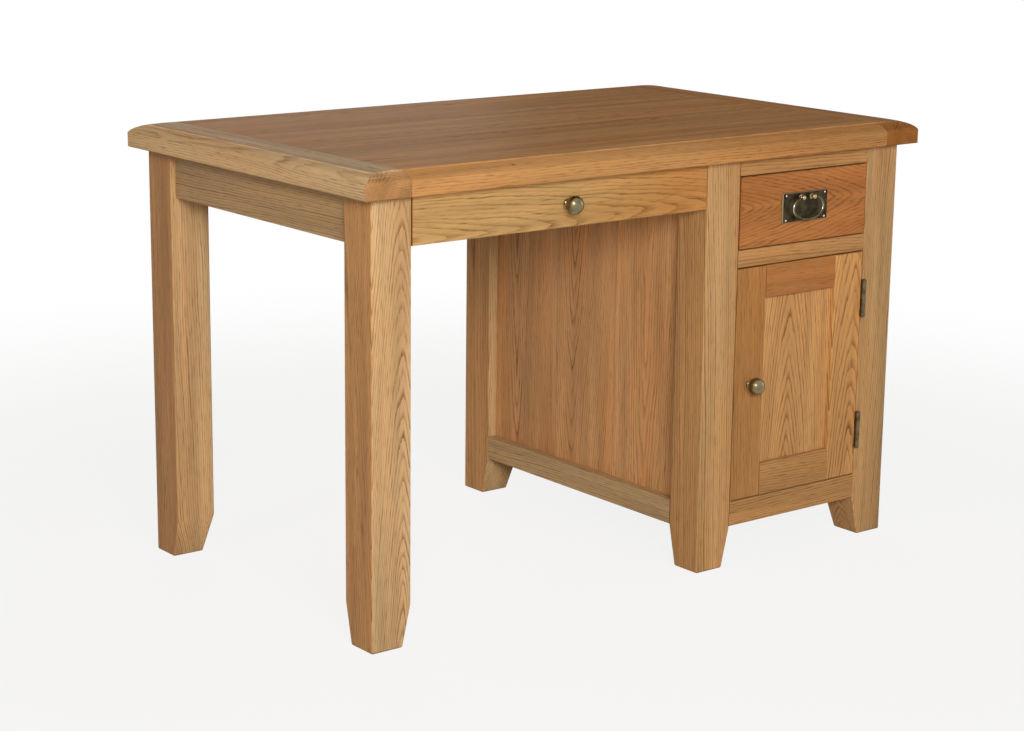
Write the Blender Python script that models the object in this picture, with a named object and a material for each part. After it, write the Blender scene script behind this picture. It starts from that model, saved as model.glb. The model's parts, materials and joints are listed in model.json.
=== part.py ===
"""An oak single-pedestal desk: six square legs, a breadboard top, two drawers and a cupboard.

Metres, +Z up. X runs along the width, Y from front to back, and the floor is at Z = 0 under the
middle of the top. Each board, rail, panel and fitting is an object of its own.
"""
from collections import defaultdict
from dataclasses import dataclass
from math import acos, asin, cos, pi, radians, sin

import bmesh
import bpy
from mathutils import Matrix, Vector

# Overall sizes
HEIGHT = 0.765
TOP_WIDTH = 1.200
TOP_DEPTH = 0.730
TOP_THICK = 0.040
OVERHANG = 0.026
PEDESTAL_WIDTH = 0.460

# Top: end boards across the grain, rolled upper edges and knocked-down corners
END_WIDTH = 0.083
EDGE_DROP = 0.014
EDGE_RUN = 0.028
EDGE_SLOPES = (radians(40), radians(13))
CORNER_DROP = 0.020
CORNER_RUN = 0.055
CORNER_SLOPES = (radians(90), radians(4))
ROLL_STEPS = 6
TOP_ARRIS = 0.002
TONGUE_THICK = 0.012
TONGUE_LENGTH = 0.015
TONGUE_STOP = 0.035

# Legs
LEG = 0.075
FOOT_TAPER = 0.016
FOOT_HEIGHT = 0.070
LEG_ARRIS = 0.003

# Aprons and rails; the kicker is the flat rail that keeps the kneehole drawer from tipping
APRON_HEIGHT = 0.080
APRON_THICK = 0.022
APRON_SET_BACK = 0.010
RAIL_THICK = 0.038
RAIL_ARRIS = 0.0015
BOTTOM_RAIL_HEIGHT = 0.044
BOTTOM_RAIL_LIFT = 0.073
TOP_RAIL_HEIGHT = 0.060
FRONT_RAIL_HEIGHT = 0.030
KICKER_DEPTH = 0.045
KICKER_THICK = 0.018
KICKER_SET_BACK = 0.025
TENON_LENGTH = 0.025
TENON_THICK = 0.010
TENON_SHOULDER = 0.010
STUB_TENON = 0.012
STUB_SHOULDER = 0.004

# Flat panels held in grooves
PANEL_THICK = 0.010
PANEL_SET_BACK = 0.020
GROOVE_DEPTH = 0.008
FLOOR_THICK = 0.012

# Drawers
DRAWER_FRONT_THICK = 0.020
SMALL_DRAWER_HEIGHT = 0.125
DRAWER_LENGTH = 0.520
SIDE_THICK = 0.014
BOX_LIFT = 0.005
BOX_HEADROOM = 0.004
BOTTOM_THICK = 0.006
BOTTOM_LIFT = 0.008
BOTTOM_GROOVE = 0.005
BACK_LIFT = 0.001
TAIL_LENGTH = 0.014
TAIL_PITCH = 0.027
TAIL_BASE_SHARE = 0.27
TAIL_TIP_SHARE = 0.38
RUNNER_HEIGHT = 0.014
RUNNER_THICK = 0.009
RUNNER_START = 0.045
RUNNER_BEARING = 0.036

# Door
DOOR_THICK = 0.020
STILE_WIDTH = 0.068
DOOR_RAIL_HEIGHT = 0.058
DOOR_PANEL_THICK = 0.006
DOOR_PANEL_SET_BACK = 0.010
DOOR_ARRIS = 0.0012

# Butt hinges
HINGE_HEIGHT = 0.066
HINGE_INSET = 0.052
LEAF_THICK = 0.0016
LEAF_DEPTH = 0.024
LEAF_AIR = 0.0002
KNUCKLE_RADIUS = 0.0045
PIN_RADIUS = 0.0024
PIN_HEAD_RADIUS = 0.0034
PIN_HEAD = 0.0014
MIDDLE_KNUCKLE = 0.033
KNUCKLE_GAP = 0.0004

# Knobs
KNOB_RADIUS = 0.0150
KNOB_HALF_DEPTH = 0.0145
KNOB_CENTRE = 0.0200
KNOB_STEM_RADIUS = 0.0050
KNOB_BASE_RADIUS = 0.0070
KNOB_BASE_THICK = 0.0025

# Bail handle
PLATE_WIDTH = 0.110
PLATE_HEIGHT = 0.0525
PLATE_THICK = 0.0025
PLATE_BEVEL = 0.0016
POST_SPACING = 0.026
POST_ABOVE_CENTRE = 0.0170
POST_STANDOFF = 0.0080
POST_BALL_RADIUS = 0.0046
POST_STEM_RADIUS = 0.0026
POST_FOOT_RADIUS = 0.0046
POST_FOOT_THICK = 0.0012
BAIL_HALF_WIDTH = 0.036
BAIL_HALF_HEIGHT = 0.021
BAIL_CENTRE_DROP = 0.018
BAIL_WIRE_RADIUS = 0.0024
BAIL_COLLAR_RADIUS = 0.0033
BAIL_COLLAR_LENGTH = 0.0022
BAIL_PIN_RADIUS = 0.0015
BAIL_PIN_REACH = 0.0020

# Magnetic catch
CATCH_WIDTH = 0.014
CATCH_DEPTH = 0.030
CATCH_HEIGHT = 0.044
CATCH_BELOW_DOOR_TOP = 0.120
STRIKE_THICK = 0.0015
CATCH_AIR = 0.0006

# Clearances
SEAT = 0.0003
REVEAL = 0.002
FRONT_SET_BACK = 0.001
RUNNER_PLAY = 0.0006
OVERCUT = 0.002

# Facets of rounded edges and round pieces
ARRIS_STEPS = 2
TURN_STEPS = 28
HEAD_STEPS = 10
WIRE_STEPS = 10
BOW_STEPS = 14
KNUCKLE_STEPS = 20
SMOOTH_ANGLE = radians(35)

# Finishes: colour, roughness and metallic
FINISHES = {
    "oiled_oak": ((0.50, 0.29, 0.12), 0.45, 0.0),
    "oak_panel": ((0.47, 0.26, 0.10), 0.45, 0.0),
    "pale_oak": ((0.60, 0.42, 0.22), 0.60, 0.0),
    "antique_brass": ((0.20, 0.15, 0.07), 0.32, 1.0),
    "dark_bronze": ((0.045, 0.036, 0.024), 0.45, 1.0),
    "zinc_plated_steel": ((0.55, 0.56, 0.57), 0.35, 1.0),
}

# Places worked out from the sizes above
UNDER_TOP = HEIGHT - TOP_THICK
FRAME_TOP = UNDER_TOP - SEAT
LEFT = OVERHANG - TOP_WIDTH / 2
RIGHT = TOP_WIDTH / 2 - OVERHANG
FRONT = OVERHANG - TOP_DEPTH / 2
BACK = TOP_DEPTH / 2 - OVERHANG
PEDESTAL = RIGHT - PEDESTAL_WIDTH
LEFT_INNER = LEFT + LEG
PEDESTAL_INNER = PEDESTAL + LEG
RIGHT_INNER = RIGHT - LEG
FRONT_INNER = FRONT + LEG
BACK_INNER = BACK - LEG
FRONT_FACE = FRONT + FRONT_SET_BACK
BOTTOM_RAIL_TOP = BOTTOM_RAIL_LIFT + BOTTOM_RAIL_HEIGHT
TOP_RAIL_BOTTOM = UNDER_TOP - TOP_RAIL_HEIGHT
APRON_BOTTOM = UNDER_TOP - APRON_HEIGHT
FRONT_RAIL_BOTTOM = UNDER_TOP - FRONT_RAIL_HEIGHT
SMALL_DRAWER_TOP = FRONT_RAIL_BOTTOM - REVEAL
SMALL_DRAWER_BOTTOM = SMALL_DRAWER_TOP - SMALL_DRAWER_HEIGHT
MIDDLE_RAIL_TOP = SMALL_DRAWER_BOTTOM - REVEAL
MIDDLE_RAIL_BOTTOM = MIDDLE_RAIL_TOP - FRONT_RAIL_HEIGHT
DOOR_TOP = MIDDLE_RAIL_BOTTOM - REVEAL
DOOR_BOTTOM = BOTTOM_RAIL_TOP + REVEAL
DOOR_LEFT = PEDESTAL_INNER + REVEAL
DOOR_RIGHT = RIGHT_INNER - REVEAL
DOOR_BACK = FRONT_FACE + DOOR_THICK
FACE_BACK = FRONT_FACE + DRAWER_FRONT_THICK
BOX_BACK = FACE_BACK + DRAWER_LENGTH
HINGE_X = RIGHT_INNER - REVEAL / 2
HINGE_Y = FRONT - KNUCKLE_RADIUS - SEAT
KICKER_BOTTOM = UNDER_TOP - KICKER_THICK
LONG_TENON = (TENON_LENGTH, TENON_SHOULDER)
SHORT_TENON = (STUB_TENON, STUB_SHOULDER)

# Grooves and mortises wait here, by the name of the piece that they are cut into
CUTS = defaultdict(list)


def clear_scene():
    for obj in list(bpy.data.objects):
        bpy.data.objects.remove(obj, do_unlink=True)


def principled(name, colour, roughness, metallic):
    material = bpy.data.materials.new(name)
    material.use_nodes = True
    shader = material.node_tree.nodes["Principled BSDF"]
    shader.inputs["Base Color"].default_value = (*colour, 1.0)
    shader.inputs["Roughness"].default_value = roughness
    shader.inputs["Metallic"].default_value = metallic
    return material


def add_piece(name, bm, material=None, parent=None):
    """Make an object of a mesh that is drawn where the piece sits."""
    bmesh.ops.recalc_face_normals(bm, faces=bm.faces)
    mesh = bpy.data.meshes.new(name)
    bm.to_mesh(mesh)
    bm.free()
    obj = bpy.data.objects.new(name, mesh)
    bpy.context.scene.collection.objects.link(obj)
    if material:
        mesh.materials.append(material)
    if parent:
        obj.parent = parent
        obj.matrix_parent_inverse = Matrix.Translation(parent.location).inverted()
    return obj


def add_joint_empty(name, place, parent=None):
    """An empty on a joint's axis, which carries the pieces that move with it."""
    empty = bpy.data.objects.new(name, None)
    empty.empty_display_size = LEG
    empty.location = place
    bpy.context.scene.collection.objects.link(empty)
    if parent:
        empty.parent = parent
        empty.matrix_parent_inverse = Matrix.Translation(parent.location).inverted()
    return empty


def add_cutter(name, bm):
    cutter = add_piece(name, bm)
    cutter.hide_render = True
    cutter.display_type = "WIRE"
    return cutter


def combine(obj, operation, cutter):
    modifier = obj.modifiers.new(cutter.name, "BOOLEAN")
    modifier.operation = operation
    modifier.solver = "EXACT"
    modifier.object = cutter


def along(axis, position, across, up):
    """A point from its place along an axis, across it and up (or back, for the Z axis)."""
    if axis == "X":
        return Vector((position, across, up))
    if axis == "Y":
        return Vector((across, position, up))
    return Vector((across, up, position))


def bar_mesh(axis, stations):
    """A bar of rectangular sections, given as (position, (low, high) across, (low, high) up)."""
    bm = bmesh.new()
    rings = []
    for position, (left, right), (low, high) in stations:
        corners = ((left, low), (right, low), (right, high), (left, high))
        rings.append([bm.verts.new(along(axis, position, a, b)) for a, b in corners])
    for ring, following in zip(rings, rings[1:]):
        for i in range(4):
            j = (i + 1) % 4
            bm.faces.new((ring[i], ring[j], following[j], following[i]))
    bm.faces.new(rings[0])
    bm.faces.new(rings[-1])
    return bm


def box_mesh(boxes):
    """Separate boxes, each given by its lowest and highest corner."""
    bm = bmesh.new()
    for low, high in boxes:
        size = Vector(high) - Vector(low)
        middle = (Vector(high) + Vector(low)) / 2
        place = Matrix.Translation(middle) @ Matrix.Diagonal((*size, 1.0))
        bmesh.ops.create_cube(bm, size=1.0, matrix=place)
    return bm


def outline_mesh(axis, start, end, outlines):
    """Flat outlines of (across, up) points, extruded along an axis."""
    bm = bmesh.new()
    for outline in outlines:
        near = [bm.verts.new(along(axis, start, a, b)) for a, b in outline]
        far = [bm.verts.new(along(axis, end, a, b)) for a, b in outline]
        bm.faces.new(near)
        bm.faces.new(far)
        for i in range(len(outline)):
            j = (i + 1) % len(outline)
            bm.faces.new((near[i], near[j], far[j], far[i]))
    return bm


def turned_mesh(profile, centre, axis, steps):
    """A turned piece from (distance, radius) points that start and end on the axis."""
    reach = Vector(axis)
    side = reach.orthogonal().normalized()
    other = reach.cross(side)
    bm = bmesh.new()
    rings = []
    for distance, radius in profile:
        point = Vector(centre) + reach * distance
        if radius == 0.0:
            rings.append([bm.verts.new(point)])
            continue
        angles = [2 * pi * i / steps for i in range(steps)]
        rings.append([bm.verts.new(point + (side * cos(a) + other * sin(a)) * radius) for a in angles])
    for ring, following in zip(rings, rings[1:]):
        for i in range(steps):
            j = (i + 1) % steps
            corners = (ring[i % len(ring)], ring[j % len(ring)],
                       following[j % len(following)], following[i % len(following)])
            bm.faces.new(list(dict.fromkeys(corners)))
    return bm


def shade_round(obj):
    obj.data.shade_smooth()
    obj.data.set_sharp_from_angle(angle=SMOOTH_ANGLE)


def ease(obj, width, chosen):
    """Round over the edges that the test of their two ends picks out."""
    mesh = obj.data
    weights = mesh.attributes.new("bevel_weight_edge", "FLOAT", "EDGE")
    for edge in mesh.edges:
        start, end = (mesh.vertices[i].co for i in edge.vertices)
        weights.data[edge.index].value = float(chosen(start, end))
    bevel = obj.modifiers.new("eased_edges", "BEVEL")
    bevel.limit_method = "WEIGHT"
    bevel.width = width
    bevel.segments = ARRIS_STEPS


def long_edges(axis, length):
    reach = along(axis, 1.0, 0.0, 0.0)
    return lambda start, end: abs((end - start).dot(reach)) > length


def make_cuts(obj):
    if CUTS[obj.name]:
        combine(obj, "DIFFERENCE", add_cutter(obj.name + "_cuts", box_mesh(CUTS[obj.name])))


def ordered(low, high):
    pairs = [sorted(pair) for pair in zip(low, high)]
    return Vector([pair[0] for pair in pairs]), Vector([pair[1] for pair in pairs])


# Top
def roll_planes(corner, outward, drop, run, slopes):
    """Planes that roll an upper edge over along an arc between a lower and an upper slope."""
    lower, upper = slopes
    points = []
    for i in range(ROLL_STEPS + 1):
        slope = lower + (upper - lower) * i / ROLL_STEPS
        inward = run * (sin(lower) - sin(slope)) / (sin(lower) - sin(upper))
        down = drop * (cos(upper) - cos(slope)) / (cos(upper) - cos(lower))
        points.append(Vector(corner) - outward * inward - Vector((0, 0, down)))
    planes = []
    for first, second in zip(points, points[1:]):
        rise = second - first
        level = rise.dot(outward)
        planes.append((first, outward * rise.z - Vector((0, 0, level))))
    return planes


def edge_planes(outward):
    """The rolled upper edge and the eased lower edge on one side of the top."""
    reach = abs(outward.x) * TOP_WIDTH / 2 + abs(outward.y) * TOP_DEPTH / 2
    upper = outward * reach + Vector((0, 0, HEIGHT))
    lower = outward * (reach - TOP_ARRIS) + Vector((0, 0, UNDER_TOP))
    ease_below = (lower, outward - Vector((0, 0, 1)))
    return roll_planes(upper, outward, EDGE_DROP, EDGE_RUN, EDGE_SLOPES) + [ease_below]


def corner_planes(side_x, side_y):
    """The knocked-down corner and its eased upright arris."""
    outward = Vector((side_x, side_y, 0)).normalized()
    corner = Vector((side_x * TOP_WIDTH / 2, side_y * TOP_DEPTH / 2, HEIGHT))
    arris = (corner - outward * TOP_ARRIS, outward)
    return [arris] + roll_planes(corner, outward, CORNER_DROP, CORNER_RUN, CORNER_SLOPES)


def planed_mesh(low, high, planes):
    """A board planed down by cutting away what lies outside each plane."""
    bm = box_mesh([(low, high)])
    for point, normal in planes:
        everything = bm.verts[:] + bm.edges[:] + bm.faces[:]
        cut = bmesh.ops.bisect_plane(bm, geom=everything, plane_co=point, plane_no=normal,
                                     clear_outer=True)
        rim = [part for part in cut["geom_cut"] if isinstance(part, bmesh.types.BMEdge)]
        bmesh.ops.edgeloop_fill(bm, edges=rim)
    return bm


def tongue_box(side, play):
    """The stopped tongue at one end of the field, or with play the groove it enters."""
    seam = side * (TOP_WIDTH / 2 - END_WIDTH)
    middle = UNDER_TOP + (TOP_THICK - EDGE_DROP) / 2
    stop = TOP_DEPTH / 2 - TONGUE_STOP + play
    inside = seam - side * TONGUE_LENGTH
    outside = seam + side * (TONGUE_LENGTH + play)
    half = TONGUE_THICK / 2 + play
    return ordered((inside, -stop, middle - half), (outside, stop, middle + half))


def make_top(oak):
    lengthwise = edge_planes(Vector((0, -1, 0))) + edge_planes(Vector((0, 1, 0)))
    seam = TOP_WIDTH / 2 - END_WIDTH
    low = (-seam + SEAT, -TOP_DEPTH / 2, UNDER_TOP)
    high = (seam - SEAT, TOP_DEPTH / 2, HEIGHT)
    field = add_piece("top_field", planed_mesh(low, high, lengthwise), oak)
    for side, word in ((-1, "left"), (1, "right")):
        combine(field, "UNION", add_cutter("tongue_" + word, box_mesh([tongue_box(side, 0)])))
        outer = side * TOP_WIDTH / 2
        low, high = ordered((outer, -TOP_DEPTH / 2, UNDER_TOP), (side * seam, TOP_DEPTH / 2, HEIGHT))
        planes = lengthwise + edge_planes(Vector((side, 0, 0)))
        planes += corner_planes(side, -1) + corner_planes(side, 1)
        end = add_piece("top_end_" + word, planed_mesh(low, high, planes), oak)
        CUTS[end.name].append(tongue_box(side, SEAT))
        make_cuts(end)


# Legs
def make_leg(name, corner, inward, oak):
    """A square leg from its outer corner, with its two inner faces tapered at the foot."""
    def section(size):
        return [sorted((c, c + way * size)) for c, way in zip(corner, inward)]

    def upright_or_on_floor(start, end):
        return abs(start.z - end.z) > LEG_ARRIS or max(start.z, end.z) < LEG_ARRIS

    foot = section(LEG - FOOT_TAPER)
    stations = [(0.0, *foot), (FOOT_HEIGHT, *section(LEG)), (FRAME_TOP, *section(LEG))]
    leg = add_piece(name, bar_mesh("Z", stations), oak)
    ease(leg, LEG_ARRIS, upright_or_on_floor)
    make_cuts(leg)


def make_legs(oak):
    make_leg("leg_front_left", (LEFT, FRONT), (1, 1), oak)
    make_leg("leg_rear_left", (LEFT, BACK), (1, -1), oak)
    make_leg("post_front_left", (PEDESTAL, FRONT), (1, 1), oak)
    make_leg("post_rear_left", (PEDESTAL, BACK), (1, -1), oak)
    make_leg("post_front_right", (RIGHT, FRONT), (-1, 1), oak)
    make_leg("post_rear_right", (RIGHT, BACK), (-1, -1), oak)


# Rails and panels
@dataclass
class Span:
    """Where a rail or panel lies: its axis, the two faces it ends at, and its section."""

    axis: str
    ends: tuple
    across: tuple
    up: tuple


def make_rail(name, span, hosts, material, tenon=LONG_TENON, arris=RAIL_ARRIS, parent=None):
    """A rail with a tenon at each end, and the mortises it needs in its two hosts."""
    length, shoulder = tenon
    near, far = span.across
    thick = min(TENON_THICK, (far - near) / 2)
    cheeks = ((near + far - thick) / 2, (near + far + thick) / 2)
    edges = (span.up[0] + shoulder, span.up[1] - shoulder)
    start, end = span.ends
    stations = [
        (start - length, cheeks, edges),
        (start + SEAT, cheeks, edges),
        (start + SEAT, span.across, span.up),
        (end - SEAT, span.across, span.up),
        (end - SEAT, cheeks, edges),
        (end + length, cheeks, edges),
    ]
    rail = add_piece(name, bar_mesh(span.axis, stations), material, parent)
    ease(rail, arris, long_edges(span.axis, length + OVERCUT))
    for host, face, way in ((hosts[0], start, -1), (hosts[1], end, 1)):
        mouth = along(span.axis, face - way * OVERCUT, cheeks[0] - SEAT, edges[0] - SEAT)
        bed = along(span.axis, face + way * (length + SEAT), cheeks[1] + SEAT, edges[1] + SEAT)
        CUTS[host].append(ordered(mouth, bed))
    return rail


def panel_box(span, play=0.0):
    """A panel's box: it enters its frame by the groove's depth, less a seat, on all four sides."""
    deep = GROOVE_DEPTH - SEAT + play
    low = along(span.axis, span.ends[0] - deep, span.across[0] - play, span.up[0] - deep)
    high = along(span.axis, span.ends[1] + deep, span.across[1] + play, span.up[1] + deep)
    return low, high


def make_panel(name, span, frame, material, parent=None):
    """A flat panel, and the grooves for it in its two uprights and its two rails."""
    add_piece(name, box_mesh([panel_box(span)]), material, parent)
    low, high = panel_box(span, SEAT)
    level, upright = "XYZ".index(span.axis), "XYZ".index("Z")
    mouths = ((level, span.ends[0], 1), (level, span.ends[1], -1),
              (upright, span.up[0], 1), (upright, span.up[1], -1))
    for host, (direction, face, way) in zip(frame, mouths):
        groove_low, groove_high = low.copy(), high.copy()
        open_side = groove_high if way > 0 else groove_low
        open_side[direction] = face + way * OVERCUT
        CUTS[host].append((groove_low, groove_high))


def make_aprons(oak):
    height = (APRON_BOTTOM, FRAME_TOP)
    depth, width = (FRONT_INNER, BACK_INNER), (LEFT_INNER, PEDESTAL)
    near = LEFT + APRON_SET_BACK
    far = BACK - APRON_SET_BACK
    kicker = FRONT + KICKER_SET_BACK
    left = Span("Y", depth, (near, near + APRON_THICK), height)
    rear = Span("X", width, (far - APRON_THICK, far), height)
    flat = Span("X", width, (kicker, kicker + KICKER_DEPTH), (KICKER_BOTTOM, FRAME_TOP))
    make_rail("apron_left", left, ("leg_front_left", "leg_rear_left"), oak)
    make_rail("apron_rear", rear, ("leg_rear_left", "post_rear_left"), oak)
    make_rail("kneehole_rail", flat, ("leg_front_left", "post_front_left"), oak, SHORT_TENON)


def make_pedestal_wall(word, axis, ends, outer, inward, uprights, oak, panel_oak):
    """One framed wall of the pedestal: a bottom rail, a top rail and a panel set back between them."""
    thickness = sorted((outer, outer + inward * RAIL_THICK))
    bottom, top = "pedestal_bottom_rail_" + word, "pedestal_top_rail_" + word
    set_back = outer + inward * PANEL_SET_BACK
    sheet = sorted((set_back, set_back + inward * PANEL_THICK))
    panel = Span(axis, ends, sheet, (BOTTOM_RAIL_TOP, TOP_RAIL_BOTTOM))
    make_panel("pedestal_panel_" + word, panel, (*uprights, bottom, top), panel_oak)
    for name, up in ((bottom, (BOTTOM_RAIL_LIFT, BOTTOM_RAIL_TOP)), (top, (TOP_RAIL_BOTTOM, FRAME_TOP))):
        make_cuts(make_rail(name, Span(axis, ends, thickness, up), uprights, oak))


def make_pedestal(oak, panel_oak):
    depth, width = (FRONT_INNER, BACK_INNER), (PEDESTAL_INNER, RIGHT_INNER)
    front_left, front_right = fronts = ("post_front_left", "post_front_right")
    rear_left, rear_right = rears = ("post_rear_left", "post_rear_right")
    make_pedestal_wall("left", "Y", depth, PEDESTAL, 1, (front_left, rear_left), oak, panel_oak)
    make_pedestal_wall("right", "Y", depth, RIGHT, -1, (front_right, rear_right), oak, panel_oak)
    make_pedestal_wall("rear", "X", width, BACK, -1, rears, oak, panel_oak)
    across = (FRONT_FACE, FRONT_FACE + RAIL_THICK)
    for word, up in (
        ("top", (FRONT_RAIL_BOTTOM, FRAME_TOP)),
        ("middle", (MIDDLE_RAIL_BOTTOM, MIDDLE_RAIL_TOP)),
        ("bottom", (BOTTOM_RAIL_LIFT, BOTTOM_RAIL_TOP)),
    ):
        make_rail("front_rail_" + word, Span("X", width, across, up), fronts, oak)
    make_cupboard_floor(panel_oak)


def make_cupboard_floor(oak):
    """A board notched round the four posts, lying on the bottom rails."""
    wall = PANEL_SET_BACK + PANEL_THICK + SEAT
    left, right = PEDESTAL + wall, RIGHT - wall
    inner_left, inner_right = PEDESTAL_INNER + SEAT, RIGHT_INNER - SEAT
    front, back = DOOR_BACK + REVEAL, BACK - wall
    inner_front, inner_back = FRONT_INNER + SEAT, BACK_INNER - SEAT
    outline = [
        (inner_left, front), (inner_right, front), (inner_right, inner_front), (right, inner_front),
        (right, inner_back), (inner_right, inner_back), (inner_right, back), (inner_left, back),
        (inner_left, inner_back), (left, inner_back), (left, inner_front), (inner_left, inner_front),
    ]
    low = BOTTOM_RAIL_TOP + SEAT
    add_piece("cupboard_floor", outline_mesh("Z", low, low + FLOOR_THICK, [outline]), oak)


# Drawers
@dataclass
class Drawer:
    """Where one drawer sits: the edges of its front, and the ceiling over its box."""

    name: str
    left: float
    right: float
    bottom: float
    top: float
    ceiling: float
    carrier: bpy.types.Object

    def __post_init__(self):
        self.low = self.bottom + BOX_LIFT
        self.high = self.ceiling - BOX_HEADROOM
        self.floor_low = self.low + BOTTOM_LIFT
        self.floor_high = self.floor_low + BOTTOM_THICK
        self.step = self.floor_high + SEAT + BACK_LIFT
        self.inner_left = self.left + SIDE_THICK
        self.inner_right = self.right - SIDE_THICK
        self.runner_low = (self.low + self.high - RUNNER_HEIGHT) / 2
        self.runner_high = self.runner_low + RUNNER_HEIGHT

    def sides(self):
        return (("left", self.left, 1), ("right", self.right, -1))

    def runner_groove(self, outer, way):
        """The groove in a side, closed at the front, that hangs the drawer on its runner."""
        start = FRONT + RUNNER_START - RUNNER_PLAY
        depth = RUNNER_THICK - REVEAL + RUNNER_PLAY
        return ordered((outer - way * OVERCUT, start, self.runner_low - RUNNER_PLAY),
                       (outer + way * depth, BOX_BACK + OVERCUT, self.runner_high + RUNNER_PLAY))


def tails(low, high, base, tip, play=0.0):
    """Dovetails between two heights, each an outline from the base line out to the tip."""
    count = max(1, round((high - low) / TAIL_PITCH))
    pitch = (high - low) / count
    narrow = pitch * TAIL_BASE_SHARE + play
    wide = pitch * TAIL_TIP_SHARE + play
    end = tip + (play if tip > base else -play)
    middles = [low + pitch * (i + 0.5) for i in range(count)]
    return [[(base, m - narrow), (end, m - wide), (end, m + wide), (base, m + narrow)] for m in middles]


def front_tails(drawer, play=0.0):
    base = FACE_BACK + SEAT
    return tails(drawer.low, drawer.high, base, base - TAIL_LENGTH, play)


def back_tails(drawer, play=0.0):
    return tails(drawer.step, drawer.high, BOX_BACK - SIDE_THICK - SEAT, BOX_BACK, play)


def side_outline(drawer):
    """A side's outline: tails that lap into the front, and tails that go through the back."""
    shoulder = FACE_BACK + SEAT
    rear = BOX_BACK - SIDE_THICK - SEAT
    points = [(shoulder, drawer.low)]
    for tail in front_tails(drawer):
        points += tail
    points += [(shoulder, drawer.high), (rear, drawer.high)]
    for tail in reversed(back_tails(drawer)):
        points += reversed(tail)
    return points + [(rear, drawer.step), (BOX_BACK, drawer.step), (BOX_BACK, drawer.low)]


def make_drawer_sides(drawer, box_oak):
    for word, outer, way in drawer.sides():
        inner = outer + way * SIDE_THICK
        mesh = outline_mesh("X", outer, inner, [side_outline(drawer)])
        side = add_piece(f"{drawer.name}_side_{word}", mesh, box_oak, drawer.carrier)
        bottom_groove = ordered((inner - way * BOTTOM_GROOVE, FACE_BACK - OVERCUT, drawer.floor_low - SEAT),
                                (inner + way * OVERCUT, BOX_BACK + OVERCUT, drawer.floor_high + SEAT))
        CUTS[side.name] += [bottom_groove, drawer.runner_groove(outer, way)]
        make_cuts(side)


def cut_dovetails(board, drawer, outlines):
    """Cut the room for the tails of both sides into the front or the back."""
    for word, outer, way in drawer.sides():
        ends = (outer - way * OVERCUT, outer + way * (SIDE_THICK + SEAT))
        sockets = add_cutter(f"{board.name}_tails_{word}", outline_mesh("X", *ends, outlines))
        combine(board, "DIFFERENCE", sockets)


def make_drawer_front(drawer, oak):
    box = ((drawer.left, FRONT_FACE, drawer.bottom), (drawer.right, FACE_BACK, drawer.top))
    front = add_piece(drawer.name + "_front", box_mesh([box]), oak, drawer.carrier)
    ease(front, DOOR_ARRIS, lambda a, b: max(a.y, b.y) < FRONT_FACE + SEAT)
    CUTS[front.name].append(((drawer.inner_left, FACE_BACK - BOTTOM_GROOVE, drawer.floor_low - SEAT),
                             (drawer.inner_right, FACE_BACK + OVERCUT, drawer.floor_high + SEAT)))
    make_cuts(front)
    cut_dovetails(front, drawer, front_tails(drawer, SEAT))


def make_drawer_back(drawer, box_oak):
    low = (drawer.left, BOX_BACK - SIDE_THICK, drawer.step + SEAT)
    box = (low, (drawer.right, BOX_BACK, drawer.high))
    back = add_piece(drawer.name + "_back", box_mesh([box]), box_oak, drawer.carrier)
    cut_dovetails(back, drawer, back_tails(drawer, SEAT))
    CUTS[back.name] += [drawer.runner_groove(outer, way) for _, outer, way in drawer.sides()]
    make_cuts(back)


def make_drawer_bottom(drawer, box_oak):
    """A thin board in the grooves of the sides and the front, which passes under the back."""
    reach = BOTTOM_GROOVE - SEAT
    left, right = drawer.inner_left, drawer.inner_right
    outline = [
        (left + SEAT, FACE_BACK - reach), (right - SEAT, FACE_BACK - reach),
        (right - SEAT, FACE_BACK + SEAT), (right + reach, FACE_BACK + SEAT),
        (right + reach, BOX_BACK), (left - reach, BOX_BACK),
        (left - reach, FACE_BACK + SEAT), (left + SEAT, FACE_BACK + SEAT),
    ]
    mesh = outline_mesh("Z", drawer.floor_low, drawer.floor_high, [outline])
    add_piece(drawer.name + "_bottom", mesh, box_oak, drawer.carrier)


def make_runners(drawer, box_oak):
    """Hardwood runners across the legs on either side, which the side grooves ride on."""
    for word, outer, way in drawer.sides():
        host = outer - way * REVEAL
        thick = sorted((host + way * SEAT, host + way * RUNNER_THICK))
        ends = (FRONT + RUNNER_START, BACK_INNER + RUNNER_BEARING)
        stations = [(end, thick, (drawer.runner_low, drawer.runner_high)) for end in ends]
        add_piece(f"{drawer.name}_runner_{word}", bar_mesh("Y", stations), box_oak)


def make_drawer(drawer, oak, box_oak):
    make_drawer_front(drawer, oak)
    make_drawer_sides(drawer, box_oak)
    make_drawer_back(drawer, box_oak)
    make_drawer_bottom(drawer, box_oak)
    make_runners(drawer, box_oak)


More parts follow.
